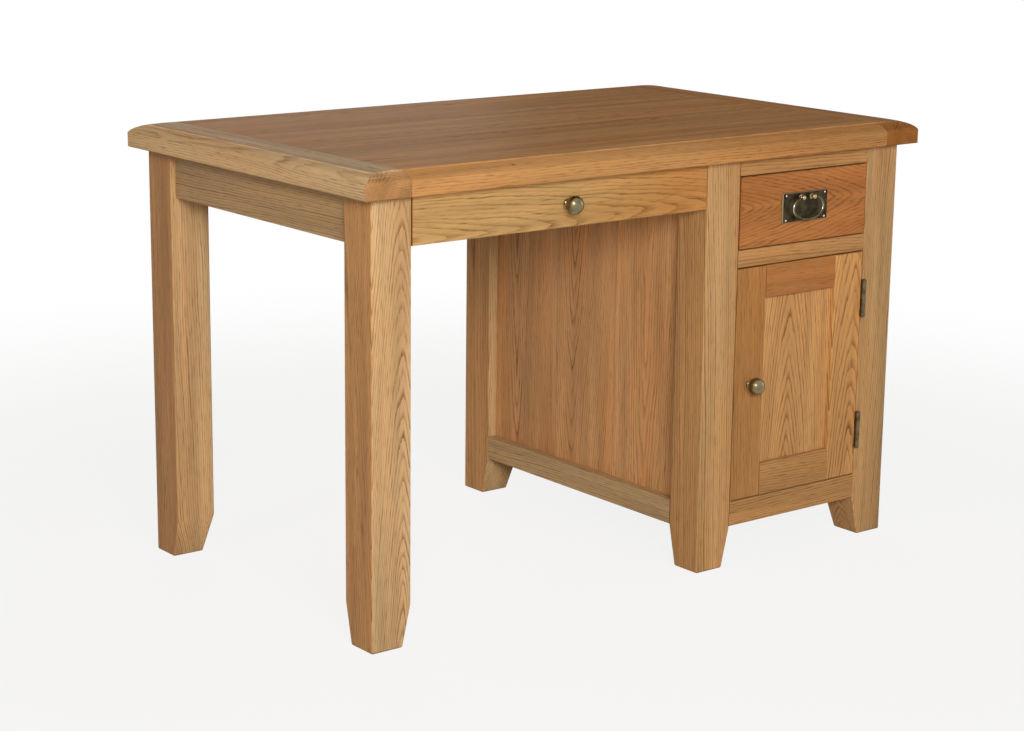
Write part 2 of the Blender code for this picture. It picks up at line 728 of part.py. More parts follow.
# Door
def make_door(carrier, oak, panel_oak):
    """A frame of two stiles and two rails round a flat panel that is set back in a groove."""
    stiles = ("door_stile_left", "door_stile_right")
    rails = ("door_rail_bottom", "door_rail_top")
    across = (FRONT_FACE, DOOR_BACK)
    opening = (DOOR_LEFT + STILE_WIDTH, DOOR_RIGHT - STILE_WIDTH)
    low, high = DOOR_BOTTOM + DOOR_RAIL_HEIGHT, DOOR_TOP - DOOR_RAIL_HEIGHT
    panel_face = FRONT_FACE + DOOR_PANEL_SET_BACK
    panel = Span("X", opening, (panel_face, panel_face + DOOR_PANEL_THICK), (low, high))
    make_panel("door_panel", panel, (*stiles, *rails), panel_oak, carrier)
    for name, up in zip(rails, ((DOOR_BOTTOM, low), (high, DOOR_TOP))):
        rail = Span("X", opening, across, up)
        make_cuts(make_rail(name, rail, stiles, oak, arris=DOOR_ARRIS, parent=carrier))
    for name, outer, inner in zip(stiles, (DOOR_LEFT, DOOR_RIGHT), opening):
        stations = [(z, sorted((outer, inner)), across) for z in (DOOR_BOTTOM, DOOR_TOP)]
        stile = add_piece(name, bar_mesh("Z", stations), oak, carrier)
        ease(stile, DOOR_ARRIS, lambda a, b: max(a.y, b.y) < FRONT_FACE + SEAT)
        make_cuts(stile)


# Butt hinges
def knuckle_outline(side):
    """A knuckle with the neck that joins it to its leaf, seen along the pin."""
    near, far = side * LEAF_AIR, side * (LEAF_AIR + LEAF_THICK)
    first, last = asin(far / KNUCKLE_RADIUS), asin(near / KNUCKLE_RADIUS)
    sweep = side * (2 * pi - abs(first - last))
    points = []
    for i in range(KNUCKLE_STEPS + 1):
        turn = first + sweep * i / KNUCKLE_STEPS
        points.append((HINGE_X + KNUCKLE_RADIUS * sin(turn), HINGE_Y + KNUCKLE_RADIUS * cos(turn)))
    root = HINGE_Y + KNUCKLE_RADIUS + KNUCKLE_GAP + LEAF_THICK
    return points + [(HINGE_X + near, root), (HINGE_X + far, root)]


def make_leaf(name, side, low, knuckles, host, brass, carrier=None):
    """A leaf let into the edge of its host, with its knuckles round the pin."""
    start = HINGE_Y + KNUCKLE_RADIUS + KNUCKLE_GAP
    box = ordered((HINGE_X + side * LEAF_AIR, start, low),
                  (HINGE_X + side * (LEAF_AIR + LEAF_THICK), start + LEAF_DEPTH, low + HINGE_HEIGHT))
    leaf = add_piece(name, box_mesh([box]), brass, carrier)
    for i, (bottom, top) in enumerate(knuckles):
        barrel = outline_mesh("Z", bottom, top, [knuckle_outline(side)])
        combine(leaf, "UNION", add_cutter(f"{name}_knuckle_{i}", barrel))
    bore = PIN_RADIUS + SEAT
    ends = (low - OVERCUT, low + HINGE_HEIGHT + OVERCUT)
    profile = [(ends[0], 0.0), (ends[0], bore), (ends[1], bore), (ends[1], 0.0)]
    drill = turned_mesh(profile, (HINGE_X, HINGE_Y, 0), (0, 0, 1), KNUCKLE_STEPS)
    combine(leaf, "DIFFERENCE", add_cutter(name + "_bore", drill))
    face = HINGE_X + side * REVEAL / 2
    bed = HINGE_X + side * (LEAF_AIR + LEAF_THICK + SEAT)
    CUTS[host].append(ordered((face - side * OVERCUT, FRONT - OVERCUT, low - SEAT),
                              (bed, start + LEAF_DEPTH + SEAT, low + HINGE_HEIGHT + SEAT)))


def make_hinge(word, low, carrier, brass):
    high = low + HINGE_HEIGHT
    middle = (low + high) / 2
    lower, upper = middle - MIDDLE_KNUCKLE / 2, middle + MIDDLE_KNUCKLE / 2
    outer = [(low, lower - KNUCKLE_GAP), (upper + KNUCKLE_GAP, high)]
    make_leaf(f"hinge_{word}_post_leaf", 1, low, outer, "post_front_right", brass)
    make_leaf(f"hinge_{word}_door_leaf", -1, low, [(lower, upper)], "door_stile_right", brass, carrier)
    reach = HINGE_HEIGHT / 2 + KNUCKLE_GAP
    half = [
        (reach, PIN_RADIUS),
        (reach, PIN_HEAD_RADIUS),
        (reach + PIN_HEAD / 2, PIN_HEAD_RADIUS),
        (reach + PIN_HEAD, PIN_RADIUS),
        (reach + PIN_HEAD, 0.0),
    ]
    profile = [(-distance, radius) for distance, radius in reversed(half)] + half
    pin = turned_mesh(profile, (HINGE_X, HINGE_Y, middle), (0, 0, 1), KNUCKLE_STEPS)
    shade_round(add_piece(f"hinge_{word}_pin", pin, brass))


# Knobs, bail handle and catch
def head_profile(centre, radius, half_depth, stem):
    """The profile of a round head, from where it leaves its stem to its tip."""
    start = -acos(stem / radius)
    points = []
    for i in range(HEAD_STEPS):
        turn = start + (pi / 2 - start) * i / HEAD_STEPS
        points.append((centre + half_depth * sin(turn), radius * cos(turn)))
    return points + [(centre + half_depth, 0.0)]


def make_knob(name, x, z, carrier, brass):
    """A turned knob: a flanged foot, a waist and a full round head."""
    waist = KNOB_BASE_THICK + KNOB_STEM_RADIUS / 2
    profile = [
        (0.0, 0.0),
        (0.0, KNOB_BASE_RADIUS),
        (KNOB_BASE_THICK, KNOB_BASE_RADIUS),
        (waist, KNOB_STEM_RADIUS),
    ]
    profile += head_profile(KNOB_CENTRE, KNOB_RADIUS, KNOB_HALF_DEPTH, KNOB_STEM_RADIUS)
    mesh = turned_mesh(profile, (x, FRONT_FACE - SEAT, z), (0, -1, 0), TURN_STEPS)
    shade_round(add_piece(name, mesh, brass, carrier))


def make_plate(x, z, carrier, bronze):
    back = FRONT_FACE - SEAT
    stations = []
    for depth, inset in ((0.0, 0.0), (PLATE_THICK - PLATE_BEVEL, 0.0), (PLATE_THICK, PLATE_BEVEL)):
        half, tall = PLATE_WIDTH / 2 - inset, PLATE_HEIGHT / 2 - inset
        stations.append((back - depth, (x - half, x + half), (z - tall, z + tall)))
    add_piece("handle_plate", bar_mesh("Y", stations), bronze, carrier)
    return back - PLATE_THICK


def make_bail_posts(x, z, plate_face, carrier, brass):
    """Two ball-headed posts, each bored across for an end of the bail."""
    profile = [
        (0.0, 0.0),
        (0.0, POST_FOOT_RADIUS),
        (POST_FOOT_THICK, POST_FOOT_RADIUS),
        (POST_FOOT_THICK, POST_STEM_RADIUS),
    ]
    profile += head_profile(POST_STANDOFF, POST_BALL_RADIUS, POST_BALL_RADIUS, POST_STEM_RADIUS)
    bore = BAIL_PIN_RADIUS + SEAT
    reach = POST_BALL_RADIUS + OVERCUT
    drill = [(-reach, 0.0), (-reach, bore), (reach, bore), (reach, 0.0)]
    foot = plate_face - SEAT
    for word, way in (("left", -1), ("right", 1)):
        middle = x + way * POST_SPACING / 2
        mesh = turned_mesh(profile, (middle, foot, z), (0, -1, 0), KNUCKLE_STEPS)
        post = add_piece("bail_post_" + word, mesh, brass, carrier)
        shade_round(post)
        hole = turned_mesh(drill, (middle, foot - POST_STANDOFF, z), (1, 0, 0), WIRE_STEPS)
        combine(post, "DIFFERENCE", add_cutter(post.name + "_bore", hole))


def bail_path():
    """Half of the bail from its end pin to its lowest point, as (across, up, radius)."""
    ball = POST_SPACING / 2 + POST_BALL_RADIUS
    collar = ball + SEAT
    collar_end = collar + BAIL_COLLAR_LENGTH
    half = [
        (POST_SPACING / 2 - BAIL_PIN_REACH, 0.0, BAIL_PIN_RADIUS),
        (collar, 0.0, BAIL_PIN_RADIUS),
        (collar, 0.0, BAIL_COLLAR_RADIUS),
        (collar_end, 0.0, BAIL_COLLAR_RADIUS),
    ]
    first = acos((collar_end + BAIL_WIRE_RADIUS / 2) / BAIL_HALF_WIDTH)
    for i in range(BOW_STEPS + 1):
        turn = first - (first + pi / 2) * i / BOW_STEPS
        up = BAIL_HALF_HEIGHT * sin(turn) - BAIL_CENTRE_DROP
        half.append((BAIL_HALF_WIDTH * cos(turn), up, BAIL_WIRE_RADIUS))
    return half


def wire_mesh(path, centre):
    """A round wire of changing radius along a path in an upright plane."""
    bm = bmesh.new()
    rings = []
    for i, (x, z, radius) in enumerate(path):
        before, after = path[max(i - 1, 0)], path[min(i + 1, len(path) - 1)]
        tangent = Vector((after[0] - before[0], 0, after[1] - before[1])).normalized()
        side = tangent.cross(Vector((0, 1, 0)))
        point = Vector(centre) + Vector((x, 0, z))
        ring = []
        for step in range(WIRE_STEPS):
            turn = 2 * pi * step / WIRE_STEPS
            ring.append(bm.verts.new(point + (side * cos(turn) + Vector((0, 1, 0)) * sin(turn)) * radius))
        rings.append(ring)
    for ring, following in zip(rings, rings[1:]):
        for i in range(WIRE_STEPS):
            j = (i + 1) % WIRE_STEPS
            bm.faces.new((ring[i], ring[j], following[j], following[i]))
    bm.faces.new(rings[0])
    bm.faces.new(rings[-1])
    return bm


def make_bail(carrier, brass):
    half = bail_path()
    mirrored = [(-x, z, radius) for x, z, radius in half]
    path = mirrored + half[-2::-1]
    bail = add_piece("bail", wire_mesh(path, carrier.location), brass, carrier)
    shade_round(bail)


def make_catch(carrier, steel):
    """A magnetic catch on the left post, and its strike plate on the back of the door."""
    high = DOOR_TOP - CATCH_BELOW_DOOR_TOP
    low = high - CATCH_HEIGHT
    left = PEDESTAL_INNER + SEAT
    strike_back = DOOR_BACK + SEAT + STRIKE_THICK
    catch_front = strike_back + CATCH_AIR
    body = ((left, catch_front, low), (left + CATCH_WIDTH, catch_front + CATCH_DEPTH, high))
    catch = add_piece("door_catch", box_mesh([body]), steel)
    ease(catch, DOOR_ARRIS, lambda a, b: min(a.x, b.x) > left + SEAT)
    strike = ((DOOR_LEFT + SEAT, DOOR_BACK + SEAT, low), (left + CATCH_WIDTH, strike_back, high))
    add_piece("door_strike", box_mesh([strike]), steel, carrier)


def main():
    clear_scene()
    finishes = {name: principled(name, *values) for name, values in FINISHES.items()}
    oak, panel_oak, box_oak, brass, bronze, steel = finishes.values()

    centre_edges = (LEFT_INNER + REVEAL, PEDESTAL - REVEAL, APRON_BOTTOM, UNDER_TOP - REVEAL)
    small_edges = (DOOR_LEFT, DOOR_RIGHT, SMALL_DRAWER_BOTTOM, SMALL_DRAWER_TOP)
    centre_x, centre_z = (sum(pair) / 2 for pair in (centre_edges[:2], centre_edges[2:]))
    small_x, small_z = (sum(pair) / 2 for pair in (small_edges[:2], small_edges[2:]))
    door_z = (DOOR_BOTTOM + DOOR_TOP) / 2
    pivot_z = small_z + POST_ABOVE_CENTRE
    pivot_y = FRONT_FACE - 2 * SEAT - PLATE_THICK - POST_STANDOFF
    centre_slide = add_joint_empty("centre_drawer_slide", (centre_x, FRONT_FACE, centre_z))
    small_slide = add_joint_empty("small_drawer_slide", (small_x, FRONT_FACE, small_z))
    door_axis = add_joint_empty("door_hinge_axis", (HINGE_X, HINGE_Y, door_z))
    bail_axis = add_joint_empty("bail_axis", (small_x, pivot_y, pivot_z), small_slide)
    centre = Drawer("centre_drawer", *centre_edges, KICKER_BOTTOM, centre_slide)
    small = Drawer("small_drawer", *small_edges, FRONT_RAIL_BOTTOM, small_slide)

    make_top(oak)
    make_aprons(oak)
    make_pedestal(oak, panel_oak)
    make_drawer(centre, oak, box_oak)
    make_drawer(small, oak, box_oak)
    make_hinge("upper", DOOR_TOP - HINGE_INSET - HINGE_HEIGHT, door_axis, brass)
    make_hinge("lower", DOOR_BOTTOM + HINGE_INSET, door_axis, brass)
    make_door(door_axis, oak, panel_oak)
    make_legs(oak)
    make_knob("centre_drawer_knob", centre_x, centre_z, centre_slide, brass)
    make_knob("door_knob", DOOR_LEFT + STILE_WIDTH / 2, door_z, door_axis, brass)
    plate_face = make_plate(small_x, small_z, small_slide, bronze)
    make_bail_posts(small_x, pivot_z, plate_face, small_slide, brass)
    make_bail(bail_axis, brass)
    make_catch(door_axis, steel)


main()
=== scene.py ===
# %% [markdown]
# # Dressing an oak desk
# The desk arrives as a set of plain solids that already have their true sizes and joints. This lesson gives
# them their looks: lacquered oak with its rings and pores, antiqued brass fittings, nails and screws, and a
# quiet studio. Nothing here moves a solid. A piece either keeps its solid and gets a better finish, or is
# replaced by a finer mesh of the same shape in the same place.

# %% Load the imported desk
import json
from math import atan2, cos, hypot, pi, radians, sin
from random import Random

import bmesh
import bpy
from mathutils import Matrix, Vector

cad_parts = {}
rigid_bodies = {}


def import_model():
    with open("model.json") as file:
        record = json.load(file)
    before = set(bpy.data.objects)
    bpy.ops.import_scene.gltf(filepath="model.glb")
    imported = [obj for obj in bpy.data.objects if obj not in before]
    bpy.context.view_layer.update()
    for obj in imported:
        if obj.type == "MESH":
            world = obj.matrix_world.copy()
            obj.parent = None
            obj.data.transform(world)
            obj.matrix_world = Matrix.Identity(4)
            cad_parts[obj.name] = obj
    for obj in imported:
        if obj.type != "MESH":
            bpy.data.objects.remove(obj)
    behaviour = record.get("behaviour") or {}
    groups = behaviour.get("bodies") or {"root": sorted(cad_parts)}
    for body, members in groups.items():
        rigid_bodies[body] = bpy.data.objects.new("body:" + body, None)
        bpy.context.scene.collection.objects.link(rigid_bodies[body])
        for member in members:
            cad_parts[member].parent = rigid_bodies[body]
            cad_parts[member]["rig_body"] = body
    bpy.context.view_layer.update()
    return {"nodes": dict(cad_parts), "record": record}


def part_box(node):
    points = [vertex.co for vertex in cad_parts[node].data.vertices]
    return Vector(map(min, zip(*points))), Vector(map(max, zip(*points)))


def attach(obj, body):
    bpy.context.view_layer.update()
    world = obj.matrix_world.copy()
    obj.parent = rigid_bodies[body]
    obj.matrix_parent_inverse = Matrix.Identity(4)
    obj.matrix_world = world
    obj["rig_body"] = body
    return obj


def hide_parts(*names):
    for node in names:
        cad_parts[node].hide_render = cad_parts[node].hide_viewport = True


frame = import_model()
nodes = frame["nodes"]
slot_of = {part["node"]: part["material_slot"] for part in frame["record"]["subparts"]}
MM = 0.001

# %% [markdown]
# ## Two small tools
# Every finish and every Geometry Nodes tree below is a web of nodes. One helper adds a node, sets its
# properties and fills its sockets, with a value, a socket to link, or a node whose first output is meant.
# A second helper turns the sRGB colours that people read off a screen into the linear light that shaders use.


# %% Node and colour helpers
def add_node(tree, kind, inputs=(), **settings):
    """Add a node to a tree, set its properties, and fill its inputs by socket name or number."""
    node = tree.nodes.new(kind)
    for key, value in settings.items():
        setattr(node, key, value)
    for socket, value in dict(inputs).items():
        if isinstance(value, bpy.types.Node):
            value = value.outputs[0]
        if isinstance(value, bpy.types.NodeSocket):
            tree.links.new(value, node.inputs[socket])
        else:
            node.inputs[socket].default_value = value
    return node


def linear(hex_colour):
    """An sRGB hex colour as linear red, green, blue and alpha."""
    parts = [int(hex_colour[i:i + 2], 16) / 255 for i in (1, 3, 5)]
    light = [c / 12.92 if c <= 0.04045 else ((c + 0.055) / 1.055) ** 2.4 for c in parts]
    return (*light, 1.0)


print("mid grey is", round(linear("#808080")[0], 3), "in linear light")

# %% [markdown]
# ## The camera
# The desk is seen from its front left corner, a little above the top. The place and the angles below were
# found by matching the edges of the solids to the same edges in a photograph. The lens is long, as for most
# furniture pictures, so the far legs are hardly smaller than the near ones.

# %% Camera
CAMERA_PLACE = (-2.5247, -3.1764, 1.2802)
CAMERA_TURN = radians(-38.08)
CAMERA_DIP = radians(13.25)
CAMERA_ROLL = radians(0.68)
CAMERA_LENS = 81.35

camera_data = bpy.data.cameras.new("camera")
camera_data.lens = CAMERA_LENS
camera = bpy.data.objects.new("camera", camera_data)
bpy.context.scene.collection.objects.link(camera)
turn = Matrix.Rotation(CAMERA_TURN, 4, "Z")
tilt = Matrix.Rotation(pi / 2 - CAMERA_DIP, 4, "X")
roll = Matrix.Rotation(CAMERA_ROLL, 4, "Z")
camera.matrix_world = Matrix.Translation(CAMERA_PLACE) @ turn @ tilt @ roll
bpy.context.scene.camera = camera
bpy.context.scene.view_settings.view_transform = "Standard"
print("camera", round(Vector(CAMERA_PLACE).length, 2), "m from the middle of the floor")

# %% [markdown]
# ## The floor
# The background is white. The floor is pale and fades into that white, and it keeps the shadow that the desk
# throws. A bright lamp on the floor would whiten it too, but it would also bleach the wood. So white is shown to
# the camera, and to mirror-like reflections, by the Light Path node, and no extra light falls on the desk.

# %% Floor
FLOOR_HALF = 40.0
FADE_START = 1.0
FADE_END = 2.6
FLOOR_GLOW = 0.86


def seen_directly(tree):
    """One for rays from the camera, mirror reflections and rays through glass, and zero for the rest."""
    path = add_node(tree, "ShaderNodeLightPath")
    first = add_node(tree, "ShaderNodeMath", {0: path.outputs["Is Camera Ray"],
                                              1: path.outputs["Is Glossy Ray"]}, operation="MAXIMUM")
    return add_node(tree, "ShaderNodeMath", {0: first, 1: path.outputs["Is Transmission Ray"]},
                    operation="MAXIMUM")


paper = bpy.data.materials.new("white_studio_paper")
paper.use_nodes = True
tree = paper.node_tree
tree.nodes.clear()
where = add_node(tree, "ShaderNodeTexCoord")
away = add_node(tree, "ShaderNodeVectorMath", {0: where.outputs["Object"]}, operation="LENGTH")
fade = add_node(tree, "ShaderNodeMapRange", {"Value": away.outputs["Value"], "From Min": FADE_START,
                                             "From Max": FADE_END, "To Min": FLOOR_GLOW, "To Max": 1.0},
                interpolation_type="SMOOTHSTEP")
glow = add_node(tree, "ShaderNodeMath", {0: fade, 1: seen_directly(tree)}, operation="MULTIPLY")
matt = add_node(tree, "ShaderNodeBsdfDiffuse", {"Color": linear("#C4C0B9")})
white = add_node(tree, "ShaderNodeEmission", {"Color": linear("#FFFFFF"), "Strength": 1.0})
mixed = add_node(tree, "ShaderNodeMixShader", {0: glow, 1: matt, 2: white})
add_node(tree, "ShaderNodeOutputMaterial", {"Surface": mixed})

floor_mesh = bpy.data.meshes.new("studio_floor")
corners = [(-FLOOR_HALF, -FLOOR_HALF, 0), (FLOOR_HALF, -FLOOR_HALF, 0),
           (FLOOR_HALF, FLOOR_HALF, 0), (-FLOOR_HALF, FLOOR_HALF, 0)]
floor_mesh.from_pydata(corners, [], [(0, 1, 2, 3)])
floor_mesh.materials.append(paper)
studio_floor = bpy.data.objects.new("studio_floor", floor_mesh)
bpy.context.scene.collection.objects.link(studio_floor)
print("floor", 2 * FLOOR_HALF, "m across, white from", FADE_END, "m outwards")

# %% [markdown]
# ## The lamps
# The light is one broad soft lamp in front of the desk, a little to the left and not very high, so the front is
# brightest, the left side is quieter and the flat top is quieter still. A small warm lamp high on the left lifts
# the left faces. Fills from the right and from behind keep the shadows open. One more lamp, beside the broad
# one, is there for the metal alone: it gives the knobs and the bail their soft highlights.

# %% Lamps and surroundings
AMBIENT = 0.19
AIM = Vector((0.0, 0.0, 0.42))


def add_lamp(name, azimuth, height, distance, size, watts, colour):
    """A soft box at an angle round the desk, turned to face the middle of it."""
    data = bpy.data.lights.new(name, "AREA")
    data.shape = "RECTANGLE"
    data.size, data.size_y = size
    data.energy = watts
    data.color = linear(colour)[:3]
    lamp = bpy.data.objects.new(name, data)
    angle = radians(azimuth)
    lamp.location = (sin(angle) * distance, -cos(angle) * distance, height)
    lamp.rotation_euler = (AIM - lamp.location).to_track_quat("-Z", "Y").to_euler()
    bpy.context.scene.collection.objects.link(lamp)
    return lamp


key = add_lamp("key_softbox", -29, 1.72, 4.0, (2.2, 1.0), 136, "#FFFAF2")
add_lamp("left_spot", -80, 2.4, 3.4, (0.5, 0.5), 8, "#FFF0DC")
sparkle = add_lamp("sparkle", -52, 2.3, 3.6, (1.4, 1.4), 64, "#FFFAF2")
add_lamp("side_fill", 62, 1.5, 4.4, (2.0, 2.0), 12, "#F7FAFF")
add_lamp("back_fill", 158, 1.4, 4.4, (2.4, 2.0), 62, "#FFFAF2")
# The mirror image of the broad key would sit on every knob as a hard white square, so the lamp beside it gives
# the metal its highlights, and no other light.
key.visible_glossy = False
sparkle.visible_diffuse = False

world = bpy.data.worlds.new("studio")
bpy.context.scene.world = world
world.use_nodes = True
tree = world.node_tree
tree.nodes.clear()
soft = add_node(tree, "ShaderNodeBackground", {"Color": linear("#FFF2E4"), "Strength": AMBIENT})
plain = add_node(tree, "ShaderNodeBackground", {"Color": linear("#FFFFFF"), "Strength": 1.0})
shown = add_node(tree, "ShaderNodeMixShader", {0: seen_directly(tree), 1: soft, 2: plain})
add_node(tree, "ShaderNodeOutputWorld", {"Surface": shown})
print("five lamps and a world of", AMBIENT)

# %% [markdown]
# ## How oak gets its figure
# A log is a stack of rings round its heart, one for each year. A board shows what its saw cut left of them:
# lines along the grain where the cut runs down past the heart, and pointed arches where it runs flat over the
# rings. A flat picture of wood could be laid on each face, but it would break at every corner. So the rings are
# worked out in space instead: each point of a board is told how far it lies from the heart of its log, and the
# rings follow from that distance on the faces, the edges and the end grain alike. The node group below does
# this once for all boards. Wide boards are glued from staves, and each stave gets a heart of its own.

# %% Oak figure: staves and the heart of the log
oak = bpy.data.node_groups.new("oak_figure", "ShaderNodeTree")
for name, kind in (
    ("Board", "Vector"), ("Seed", "Vector"), ("End Grain", "Float"), ("Side Cut", "Float"),
    ("Stave Width", "Float"), ("Stave Change", "Float"), ("Heart Depth", "Float"), ("Heart Side", "Float"),
    ("Slope", "Float"), ("Ring Width", "Float"), ("Ripple", "Float"), ("Contrast", "Float"),
    ("Blush Drift", "Float"), ("Wear", "Float"), ("Light", "Color"), ("Dark", "Color"),
):
    oak.interface.new_socket(name, in_out="INPUT", socket_type="NodeSocket" + kind)
for name, kind in (("Color", "Color"), ("Roughness", "Float"), ("Height", "Float")):
    oak.interface.new_socket(name, in_out="OUTPUT", socket_type="NodeSocket" + kind)
given = add_node(oak, "NodeGroupInput").outputs

place = add_node(oak, "ShaderNodeSeparateXYZ", {0: given["Board"]}).outputs
count = add_node(oak, "ShaderNodeMath", {0: place["Y"], 1: given["Stave Width"]}, operation="DIVIDE")
count = add_node(oak, "ShaderNodeMath", {0: count, 1: 0.5}, operation="ADD")
stave = add_node(oak, "ShaderNodeMath", {0: count}, operation="FLOOR")
within = add_node(oak, "ShaderNodeMath", {0: count}, operation="FRACT")
within = add_node(oak, "ShaderNodeMath", {0: within, 1: 0.5}, operation="SUBTRACT")
within = add_node(oak, "ShaderNodeMath", {0: within, 1: given["Stave Width"]}, operation="MULTIPLY")
stave_step = add_node(oak, "ShaderNodeCombineXYZ", {0: stave, 1: stave, 2: stave})
stave_seed = add_node(oak, "ShaderNodeVectorMath", {0: stave_step, 1: (7.31, 3.17, 5.53), 2: given["Seed"]},
                      operation="MULTIPLY_ADD")
luck = add_node(oak, "ShaderNodeTexWhiteNoise", {"Vector": stave_seed})
luck = add_node(oak, "ShaderNodeSeparateColor", {0: luck.outputs["Color"]}).outputs

# Stave Change is 0 for a single board, which takes its heart as given, and 1 where each stave differs.
off_centre = add_node(oak, "ShaderNodeMath", {0: luck["Red"], 1: 0.5}, operation="SUBTRACT")
off_centre = add_node(oak, "ShaderNodeMath", {0: off_centre, 1: given["Stave Change"]}, operation="MULTIPLY")
side = add_node(oak, "ShaderNodeMath", {0: off_centre, 1: given["Stave Width"], 2: given["Heart Side"]},
                operation="MULTIPLY_ADD")
deeper = add_node(oak, "ShaderNodeMath", {0: luck["Green"], 1: given["Stave Change"], 2: 1.0},
                  operation="MULTIPLY_ADD")
depth = add_node(oak, "ShaderNodeMath", {0: deeper, 1: given["Heart Depth"]}, operation="MULTIPLY")
flatter = add_node(oak, "ShaderNodeMath", {0: luck["Blue"], 1: 1.0}, operation="SUBTRACT")
lean = add_node(oak, "ShaderNodeMath", {0: flatter, 1: given["Stave Change"], 2: 1.0}, operation="MULTIPLY_ADD")
lean = add_node(oak, "ShaderNodeMath", {0: lean, 1: given["Slope"]}, operation="MULTIPLY")
print("staves and hearts:", len(oak.nodes), "nodes")

# %% [markdown]
# ## Rings
# The trunk wanders, so the distance from its heart is bent by slow noise, stretched along the grain. Fine noise
# frays each ring. An oak ring starts with wide pores in spring, a dark ragged line, and ends in dense pale
# summer wood, so each ring is dark at its start and fades. Some years leave a strong line and some hardly any,
# and a line comes and goes along the board. Real rings are 2 to 4 mm wide, which the picture can hardly show,
# so most are drawn wider.

# %% Oak figure: rings
WANDER_LENGTH, WANDER_WIDTH, WANDER = 420 * MM, 70 * MM, 17 * MM
RIPPLE_LENGTH, RIPPLE_WIDTH = 85 * MM, 15 * MM
FRAY_LENGTH, FRAY_WIDTH, FRAY = 26 * MM, 2.2 * MM, 1.1 * MM
SPACING_REACH, SPACING_CHANGE = 19 * MM, 3.5 * MM
FADE_LENGTH, FADE_WIDTH = 130 * MM, 8 * MM
HEARTWOOD, SAPWOOD = 40 * MM, 110 * MM
HEARTWOOD_INK = 0.16
SPRING_SHARE = 0.48
FAINT_YEAR, FAINT_LINE = 0.25, 0.4
POINTED = 1.5


def stretched(tree, vector, seed, along, across):
    """The board's own coordinates counted in steps of a length along the grain and a width across it."""
    return add_node(tree, "ShaderNodeVectorMath",
                    {0: vector, 1: (1 / along, 1 / across, 1 / across), 2: seed}, operation="MULTIPLY_ADD")


drift = add_node(oak, "ShaderNodeTexNoise", {
    "Vector": stretched(oak, given["Board"], stave_seed, WANDER_LENGTH, WANDER_WIDTH),
    "Scale": 1.0, "Detail": 2.0})
drift = add_node(oak, "ShaderNodeVectorMath", {0: drift.outputs["Color"], 1: (0.5, 0.5, 0.5)},
                 operation="SUBTRACT")
drift = add_node(oak, "ShaderNodeVectorMath", {0: drift, "Scale": WANDER}, operation="SCALE")
drift = add_node(oak, "ShaderNodeSeparateXYZ", {0: drift}).outputs
across = add_node(oak, "ShaderNodeMath", {0: within, 1: side}, operation="SUBTRACT")
across = add_node(oak, "ShaderNodeMath", {0: across, 1: drift["X"]}, operation="ADD")
under = add_node(oak, "ShaderNodeMath", {0: place["X"], 1: lean, 2: place["Z"]}, operation="MULTIPLY_ADD")
under = add_node(oak, "ShaderNodeMath", {0: under, 1: depth}, operation="ADD")
under = add_node(oak, "ShaderNodeMath", {0: under, 1: drift["Y"]}, operation="ADD")
# A plain length would make every arch round. A power below 2 gives the pointed arches of real boards.
reaches = []
for reach in (across, under):
    reach = add_node(oak, "ShaderNodeMath", {0: reach}, operation="ABSOLUTE")
    reaches.append(add_node(oak, "ShaderNodeMath", {0: reach, 1: POINTED}, operation="POWER"))
radius = add_node(oak, "ShaderNodeMath", {0: reaches[0], 1: reaches[1]}, operation="ADD")
radius = add_node(oak, "ShaderNodeMath", {0: radius, 1: 1 / POINTED}, operation="POWER")

heartwood = add_node(oak, "ShaderNodeMapRange", {"Value": radius, "From Min": HEARTWOOD, "From Max": SAPWOOD,
                                                 "To Min": HEARTWOOD_INK, "To Max": 0.0})
ripple = add_node(oak, "ShaderNodeTexNoise", {
    "Vector": stretched(oak, given["Board"], stave_seed, RIPPLE_LENGTH, RIPPLE_WIDTH),
    "Scale": 1.0, "Detail": 2.0})
radius = add_node(oak, "ShaderNodeMath", {0: ripple.outputs[0], 1: given["Ripple"], 2: radius},
                  operation="MULTIPLY_ADD")
fray = add_node(oak, "ShaderNodeTexNoise", {
    "Vector": stretched(oak, given["Board"], stave_seed, FRAY_LENGTH, FRAY_WIDTH),
    "Scale": 1.0, "Detail": 2.0})
radius = add_node(oak, "ShaderNodeMath", {0: fray.outputs[0], 1: FRAY, 2: radius}, operation="MULTIPLY_ADD")
spacing = add_node(oak, "ShaderNodeTexNoise", {"W": radius, "Scale": 1 / SPACING_REACH, "Detail": 1.0},
                   noise_dimensions="1D")
radius = add_node(oak, "ShaderNodeMath", {0: spacing.outputs[0], 1: SPACING_CHANGE, 2: radius},
                  operation="MULTIPLY_ADD")
years = add_node(oak, "ShaderNodeMath", {0: radius, 1: given["Ring Width"]}, operation="DIVIDE")
year = add_node(oak, "ShaderNodeMath", {0: years}, operation="FLOOR")
season = add_node(oak, "ShaderNodeMath", {0: years}, operation="FRACT")
year_luck = add_node(oak, "ShaderNodeTexWhiteNoise", {"W": year}, noise_dimensions="1D")
strong = add_node(oak, "ShaderNodeMapRange", {"Value": year_luck.outputs["Value"], "To Min": FAINT_YEAR})
spring = add_node(oak, "ShaderNodeMapRange", {"Value": season, "From Min": 0.0, "From Max": SPRING_SHARE,
                                              "To Min": 1.0, "To Max": 0.0})
line = add_node(oak, "ShaderNodeMath", {0: spring, 1: strong}, operation="MULTIPLY")
fade = add_node(oak, "ShaderNodeTexNoise", {
    "Vector": stretched(oak, given["Board"], stave_seed, FADE_LENGTH, FADE_WIDTH),
    "Scale": 1.0, "Detail": 1.0})
fade = add_node(oak, "ShaderNodeMapRange", {"Value": fade.outputs[0], "From Min": 0.3, "From Max": 0.6,
                                            "To Min": FAINT_LINE})
line = add_node(oak, "ShaderNodeMath", {0: line, 1: fade}, operation="MULTIPLY")
print("rings:", len(oak.nodes), "nodes")

